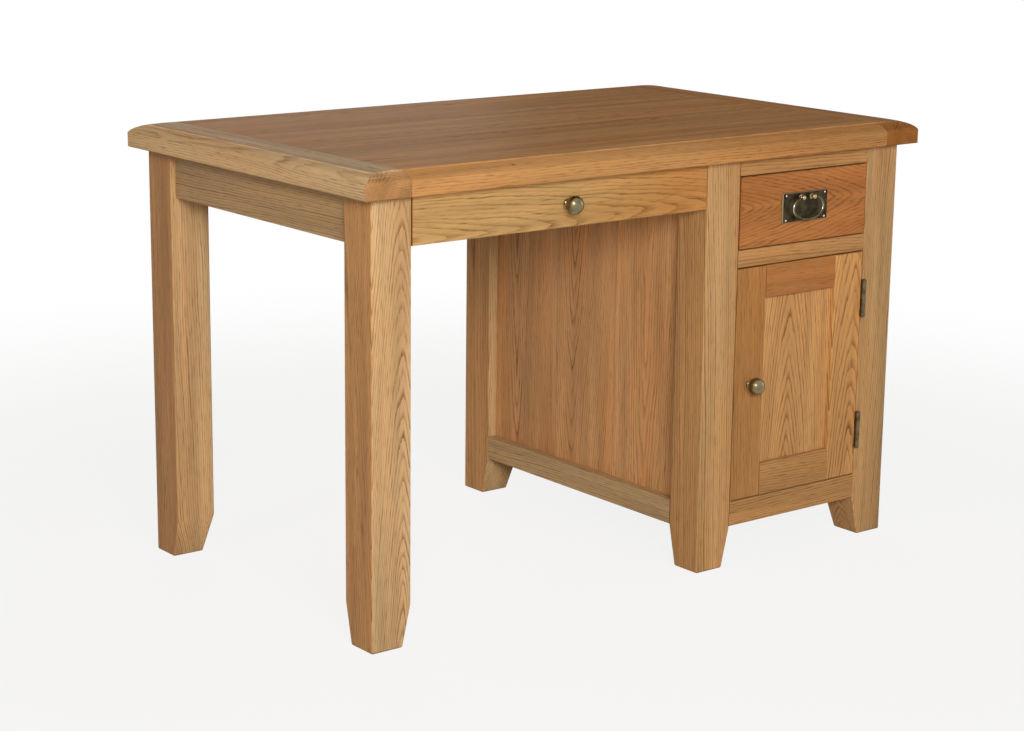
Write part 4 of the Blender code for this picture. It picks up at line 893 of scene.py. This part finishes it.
# %% The tree for slotted heads
heads = group_with("slotted_heads", [
    ("Geometry", "Geometry"), ("Radius", "Float"), ("Crown", "Float"), ("Slot", "Float"), ("Seed", "Int"),
    ("Material", "Material")])
given = add_node(heads, "NodeGroupInput").outputs
HEAD_SIDES, HEAD_ROWS = 32, 11
sheet = add_node(heads, "GeometryNodeMeshGrid", {"Size X": 1.0, "Size Y": 1.0, "Vertices X": HEAD_SIDES + 1,
                                                 "Vertices Y": HEAD_ROWS})
spot = add_node(heads, "GeometryNodeInputPosition")
spot = add_node(heads, "ShaderNodeSeparateXYZ", {0: spot}).outputs
round_angle = add_node(heads, "ShaderNodeMath", {0: spot["X"], 1: 2 * pi}, operation="MULTIPLY")
row = add_node(heads, "ShaderNodeMath", {0: spot["Y"], 1: 0.5}, operation="ADD")
# The first eight tenths of the rows make the crown, and the rest close the underside.
over = add_node(heads, "ShaderNodeMapRange", {"Value": row, "From Max": 0.8, "To Max": pi / 2})
close = add_node(heads, "ShaderNodeMapRange", {"Value": row, "From Min": 0.8, "To Min": 1.0, "To Max": 0.0})
reach = add_node(heads, "ShaderNodeMath", {0: over}, operation="SINE")
reach = add_node(heads, "ShaderNodeMath", {0: reach, 1: close}, operation="MULTIPLY")
reach = add_node(heads, "ShaderNodeMath", {0: reach, 1: given["Radius"]}, operation="MULTIPLY")
rise = add_node(heads, "ShaderNodeMath", {0: over}, operation="COSINE")
rise = add_node(heads, "ShaderNodeMath", {0: rise, 1: given["Crown"]}, operation="MULTIPLY")
east = add_node(heads, "ShaderNodeMath", {0: round_angle}, operation="COSINE")
east = add_node(heads, "ShaderNodeMath", {0: east, 1: reach}, operation="MULTIPLY")
north = add_node(heads, "ShaderNodeMath", {0: round_angle}, operation="SINE")
north = add_node(heads, "ShaderNodeMath", {0: north, 1: reach}, operation="MULTIPLY")
bent = add_node(heads, "ShaderNodeCombineXYZ", {0: east, 1: north, 2: rise})
head = add_node(heads, "GeometryNodeSetPosition", {"Geometry": sheet, "Position": bent})
head = add_node(heads, "GeometryNodeMergeByDistance", {"Geometry": head, "Distance": 0.002 * MM})
slot_long = add_node(heads, "ShaderNodeMath", {0: given["Radius"], 1: 2.4}, operation="MULTIPLY")
slot_size = add_node(heads, "ShaderNodeCombineXYZ", {0: slot_long, 1: given["Slot"], 2: given["Crown"]})
slot_lift = add_node(heads, "ShaderNodeCombineXYZ", {2: given["Crown"]})
saw = add_node(heads, "GeometryNodeMeshCube", {"Size": slot_size})
saw = add_node(heads, "GeometryNodeTransform", {"Geometry": saw, "Translation": slot_lift})
slotted = add_node(heads, "GeometryNodeMeshBoolean", {"Mesh 1": head, "Mesh 2": saw}, operation="DIFFERENCE",
                   solver="EXACT")
has_slot = add_node(heads, "FunctionNodeCompare", {0: given["Slot"], 1: 0.01 * MM}, data_type="FLOAT",
                    operation="GREATER_THAN")
head = add_node(heads, "GeometryNodeSwitch", {"Switch": has_slot, "False": head, "True": slotted},
                input_type="GEOMETRY")
outward = add_node(heads, "GeometryNodeInputNamedAttribute", {"Name": "outward"}, data_type="FLOAT_VECTOR")
aim = add_node(heads, "FunctionNodeAlignRotationToVector", {"Vector": outward}, axis="Z")
spin = add_node(heads, "FunctionNodeRandomValue", {"Max": 1.0, "Seed": given["Seed"]}, data_type="FLOAT")
spin = add_node(heads, "ShaderNodeMath", {0: spin.outputs[1], 1: pi}, operation="MULTIPLY")
spin = add_node(heads, "FunctionNodeAxisAngleToRotation", {"Axis": (0.0, 0.0, 1.0), "Angle": spin})
aim = add_node(heads, "FunctionNodeRotateRotation", {"Rotation": aim, "Rotate By": spin},
               rotation_space="LOCAL")
copies = add_node(heads, "GeometryNodeInstanceOnPoints", {"Points": given["Geometry"], "Instance": head,
                                                          "Rotation": aim})
real = add_node(heads, "GeometryNodeRealizeInstances", {0: copies})
dressed = add_node(heads, "GeometryNodeSetMaterial", {"Geometry": real, "Material": given["Material"]})
add_node(heads, "NodeGroupOutput", {0: dressed})
print("slotted heads:", len(heads.nodes), "nodes")

# %% Places for nails and screws
AXES = {"x": 0, "y": 1, "z": 2}


def on_face(node, face, spots):
    """Points on one face of a solid's box, with spots as shares of the box, and the way the face looks."""
    low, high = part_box(node)
    axis = AXES[face[1]]
    others = [one for one in range(3) if one != axis]
    outward = Vector((0, 0, 0))
    outward[axis] = 1.0 if face[0] == "+" else -1.0
    found = []
    for shares in spots:
        point = Vector((0, 0, 0))
        point[axis] = (high if face[0] == "+" else low)[axis]
        for one, share in zip(others, shares):
            point[one] = low[one] + (high[one] - low[one]) * share
        found.append((point, outward))
    return found


def set_heads(name, body, points, radius, crown, slot_width, material):
    """One mesh of heads on one body."""
    mesh = bpy.data.meshes.new(name + "_points")
    mesh.from_pydata([point for point, _ in points], [], [])
    ways = mesh.attributes.new("outward", "FLOAT_VECTOR", "POINT")
    for item, (_, outward) in zip(ways.data, points):
        item.vector = outward
    piece = run_group(name, heads, mesh, {"Radius": radius, "Crown": crown, "Slot": slot_width, "Seed": 7,
                                          "Material": material})
    shade_soft(piece)
    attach(piece, body)
    print(name, len(points), "heads,", len(piece.data.polygons), "faces")


print("heads wait for their places")

# %% Nails of the back plate and screws of the hinges
nails = on_face("handle_plate", "-y", [(x, z) for x in (0.075, 0.925) for z in (0.09, 0.91)])
set_heads("plate_nails", "small_drawer", nails, 1.9 * MM, 1.3 * MM, 0.0, bright_brass)
leaf_spots = [(0.62, share) for share in (0.14, 0.5, 0.86)]
for body, word, face in (("frame", "post", "-x"), ("door", "door", "+x")):
    points = [point for level in ("upper", "lower")
              for point in on_face(f"hinge_{level}_{word}_leaf", face, leaf_spots)]
    set_heads(f"hinge_screws_{word}", body, points, 2.6 * MM, 0.15 * MM, 0.7 * MM,
              hinge_bronze)


# %% Bolts behind the knobs, and screws of the catch and the runners
def behind(board, fittings):
    """Points on the back of a board, straight behind its fittings."""
    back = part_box(board)[1].y
    found = []
    for fitting in fittings:
        low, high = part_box(fitting)
        found.append((Vector(((low.x + high.x) / 2, back, (low.z + high.z) / 2)), Vector((0, 1, 0))))
    return found


steel = METALS["zinc_steel"]
set_heads("catch_screws", "frame", on_face("door_catch", "+x", [(0.5, 0.15), (0.5, 0.85)]),
          2.0 * MM, 0.8 * MM, 0.6 * MM, steel)
for body, board, fittings, radius in (
    ("centre_drawer", "centre_drawer_front", ["centre_drawer_knob"], 4.2 * MM),
    ("door", "door_stile_left", ["door_knob"], 4.2 * MM),
    ("small_drawer", "small_drawer_front", ["bail_post_left", "bail_post_right"], 3.2 * MM),
):
    set_heads(f"{body}_bolts", body, behind(board, fittings), radius, 1.6 * MM, 0.9 * MM, steel)
runners = [name for name in nodes if "_runner_" in name]
points = [point for name in runners for point in on_face(name, "-z", [(0.5, y) for y in (0.1, 0.5, 0.9)])]
set_heads("runner_screws", "frame", points, 3.0 * MM, 0.3 * MM, 0.8 * MM, steel)
